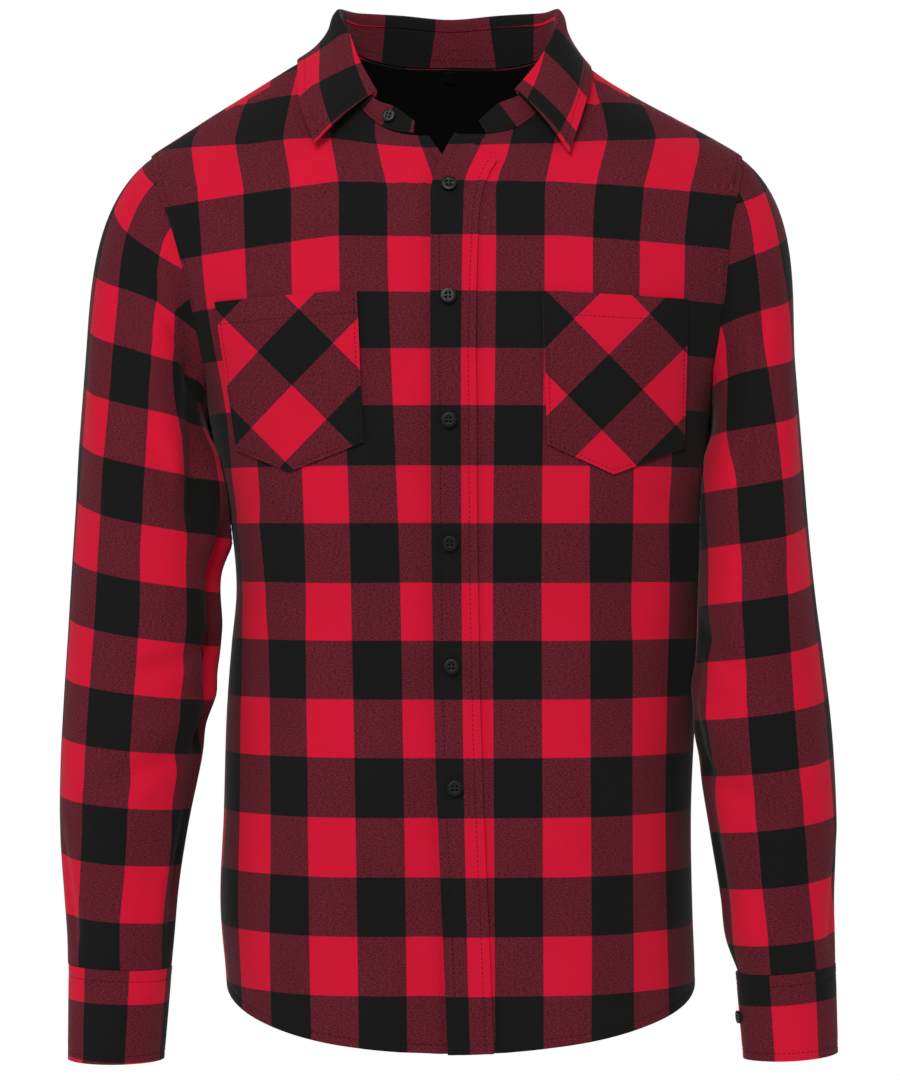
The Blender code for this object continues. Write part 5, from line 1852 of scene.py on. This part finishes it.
@dataclass(frozen=True)
class Buttons:
    """Moulded four-hole buttons with a raised rim, sewn on with crossed thread.

    The insets shape the face from the rim in: each goes inward by a share of the radius
    and then up by a share of the height.
    """

    wardrobe: Wardrobe
    radius: float = 5.8 * MM
    height: float = 2.5 * MM
    sides: int = 40
    hole: float = 0.75 * MM
    hole_spread: float = 1.45 * MM
    diagonal: float = 1.414
    bevel: float = 0.22 * MM
    insets: tuple = ((0.06, 0.18), (0.13, 0.0), (0.10, -0.34), (0.22, -0.10))
    thread: float = 0.33 * MM

    def model(self) -> bpy.types.Object:
        """Models one button, its underside on the origin, facing up.

        Returns:
            The button.
        """
        bpy.ops.object.select_all(action="DESELECT")
        bpy.ops.mesh.primitive_cylinder_add(vertices=self.sides, radius=self.radius * 0.96,
                                            depth=self.height * 0.8,
                                            location=(0, 0, self.height * 0.4))
        thing = bpy.context.object
        bpy.ops.object.mode_set(mode="EDIT")
        bpy.ops.mesh.select_all(action="DESELECT")
        bpy.ops.object.mode_set(mode="OBJECT")
        for polygon in thing.data.polygons:
            polygon.select = polygon.normal.z > 0.9
        bpy.ops.object.mode_set(mode="EDIT")
        bpy.ops.mesh.select_mode(type="FACE")
        for inset, rise in self.insets:
            bpy.ops.mesh.inset(thickness=self.radius * inset)
            bpy.ops.transform.translate(value=(0, 0, self.height * rise))
        bpy.ops.object.mode_set(mode="OBJECT")
        for x in (-self.hole_spread, self.hole_spread):
            for y in (-self.hole_spread, self.hole_spread):
                self.drill(thing, x, y)
        self.finish(thing, "BEVEL", width=self.bevel, segments=2, limit_method="ANGLE",
                    angle_limit=math.radians(35))
        thing.data.shade_smooth()
        thing.data.set_sharp_from_angle(angle=math.radians(50))
        return thing

    def finish(self, thing: bpy.types.Object, kind: str, **settings: object) -> None:
        """Adds a modifier to an object and applies it.

        Args:
            thing: the object.
            kind: the modifier's type.
            settings: its settings.
        """
        bpy.ops.object.select_all(action="DESELECT")
        thing.select_set(True)
        bpy.context.view_layer.objects.active = thing
        modifier = thing.modifiers.new(kind.lower(), kind)
        for key, value in settings.items():
            setattr(modifier, key, value)
        bpy.ops.object.modifier_apply(modifier=modifier.name)

    def drill(self, thing: bpy.types.Object, x: float, y: float) -> None:
        """Drills one hole through the button at (x, y).

        Args:
            thing: the button.
            x, y: the hole's middle.
        """
        bpy.ops.object.select_all(action="DESELECT")
        bpy.ops.mesh.primitive_cylinder_add(vertices=12, radius=self.hole,
                                            depth=self.height * 3, location=(x, y, 0))
        cutter = bpy.context.object
        self.finish(thing, "BOOLEAN", object=cutter, operation="DIFFERENCE", solver="EXACT")
        bpy.data.objects.remove(cutter, do_unlink=True)

    def thread_model(self) -> bpy.types.Object:
        """Models the two crossed loops of thread through the holes.

        Returns:
            The thread.
        """
        bpy.ops.object.select_all(action="DESELECT")
        parts = []
        for angle in (45.0, 135.0):
            bpy.ops.mesh.primitive_torus_add(major_segments=24, minor_segments=8,
                                             major_radius=self.hole_spread * self.diagonal,
                                             minor_radius=self.thread,
                                             location=(0, 0, self.height * 0.42),
                                             rotation=(math.pi / 2, 0, math.radians(angle)))
            part = bpy.context.object
            part.scale = (1.0, 0.75, 1.0)
            bpy.ops.object.transform_apply(location=True, rotation=True, scale=True)
            parts.append(part)
        for part in parts:
            part.select_set(True)
        bpy.context.view_layer.objects.active = parts[0]
        bpy.ops.object.join()
        return bpy.context.object

    def build(self) -> None:
        """Sets a copy of the button and its thread on every button's place."""
        models = (self.model(), self.thread_model())
        places = sorted(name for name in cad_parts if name.startswith("button_"))
        for name in places:
            self.set_button(name, *models)
        for thing in models:
            bpy.data.objects.remove(thing, do_unlink=True)
        LOG.info("buttons: %d", len(places))

    def set_button(self, name: str, model: bpy.types.Object, thread: bpy.types.Object) -> None:
        """Copies the button and its thread onto one of the frame's buttons.

        Args:
            name: the button's node.
            model, thread: what is copied.
        """
        place, axis, scale = self.read_place(name)
        turn = Vector((0, 0, 1)).rotation_difference(axis).to_matrix().to_4x4()
        matrix = Matrix.Translation(place) @ turn @ Matrix.Scale(scale, 4)
        for part, source, finish, slot in (("_sewn", model, Finish.BUTTON, Finish.BUTTON),
                                           ("_sewn_thread", thread, Finish.THREAD, Finish.PLAIN)):
            mesh = source.data.copy()
            mesh.transform(matrix)
            mesh.materials.clear()
            mesh.materials.append(self.wardrobe.materials[finish])
            thing = new_thing(name + part, mesh)
            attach(thing, "root")
            if source is model:
                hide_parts(name)

    def read_place(self, name: str) -> tuple:
        """A frame button's underside middle, its facing direction and its scale.

        Args:
            name: the button's node.

        Returns:
            The middle, the direction and the scale.
        """
        source = bpy.data.objects[name]
        points = np.array([source.matrix_world @ v.co for v in source.data.vertices])
        middle = points.mean(axis=0)
        axis = np.linalg.svd(points - middle, full_matrices=False)[2][2]
        heights = (points - middle) @ axis
        wide = np.linalg.norm(points - middle - heights[:, None] * axis, axis=1)
        if heights[wide > 0.97 * wide.max()].mean() < 0.5 * (heights.min() + heights.max()):
            axis, heights = -axis, -heights
        return Vector(middle + axis * heights.min()), Vector(axis), wide.max() / self.radius


# ---------------------------------------------------------------- studio

@dataclass(frozen=True)
class Studio:
    """A plain pale floor, soft white light and the camera."""

    camera_place: tuple = (0.0, -2.7, -0.358)
    lens: float = 139.36
    floor_level: float = -1.05
    floor_size: float = 2.2
    room_light: float = 0.36
    light_aim: tuple = (0.0, 0.0, -0.35)

    def build(self) -> None:
        """Builds the floor, the light and the camera."""
        scene = bpy.context.scene
        scene.view_settings.view_transform = "Standard"
        scene.world = bpy.data.worlds.new("white_room")
        scene.world.use_nodes = True
        nodes = Nodes(scene.world.node_tree)
        seen = nodes.add("LightPath", out="Is Camera Ray")
        nodes.feed(nodes.tree.nodes["Background"], {
            "Color": (1.0, 1.0, 1.0, 1.0), "Strength": nodes.spread(seen, self.room_light, 1.0)})
        bpy.ops.object.select_all(action="DESELECT")
        bpy.ops.mesh.primitive_plane_add(size=self.floor_size, location=(0, 0, self.floor_level))
        floor = bpy.context.object
        floor.name = "studio_floor"
        floor.data.materials.append(MattPaper().make())
        for light in (("front_light", (-0.6, -2.8, 1.4), 1.3, 63.0),
                      ("right_side_light", (-2.4, -1.1, 0.4), 1.1, 10.0),
                      ("left_side_light", (2.4, -1.1, 0.4), 1.1, 8.0),
                      ("back_light", (0.5, 2.8, 0.7), 1.4, 34.0)):
            self.add_light(*light)
        camera = bpy.data.cameras.new("front_camera")
        camera.lens = self.lens
        camera.sensor_width = 36.0
        camera.sensor_fit = "HORIZONTAL"
        scene.camera = new_thing("front_camera", camera)
        scene.camera.location = self.camera_place
        scene.camera.rotation_euler = (math.pi / 2, 0.0, 0.0)

    def add_light(self, name: str, place: tuple, size: float, power: float) -> None:
        """Adds a soft square light that faces the shirt.

        Args:
            name: its name.
            place: where it stands.
            size: the length of its sides, in metres.
            power: its power, in watts.
        """
        light = bpy.data.lights.new(name, "AREA")
        light.shape = "SQUARE"
        light.size = size
        light.energy = power
        thing = new_thing(name, light)
        thing.location = place
        away = Vector(place) - Vector(self.light_aim)
        thing.rotation_euler = away.to_track_quat("Z", "Y").to_euler()


def main() -> None:
    """Builds the shirt's sub-assemblies in order, then the studio."""
    logging.basicConfig(level=logging.INFO, format="%(name)s: %(message)s")
    form, wardrobe = BodyForm(), Wardrobe()
    Fronts(form, wardrobe).build()
    BackAndYoke(form, wardrobe).build()
    Collar(form, wardrobe).build()
    for side, name in SIDES.items():
        Arm(form, wardrobe, side, **ARMS[name]).build()
    Buttons(wardrobe).build()
    Studio().build()


if __name__ == "__main__":
    main()
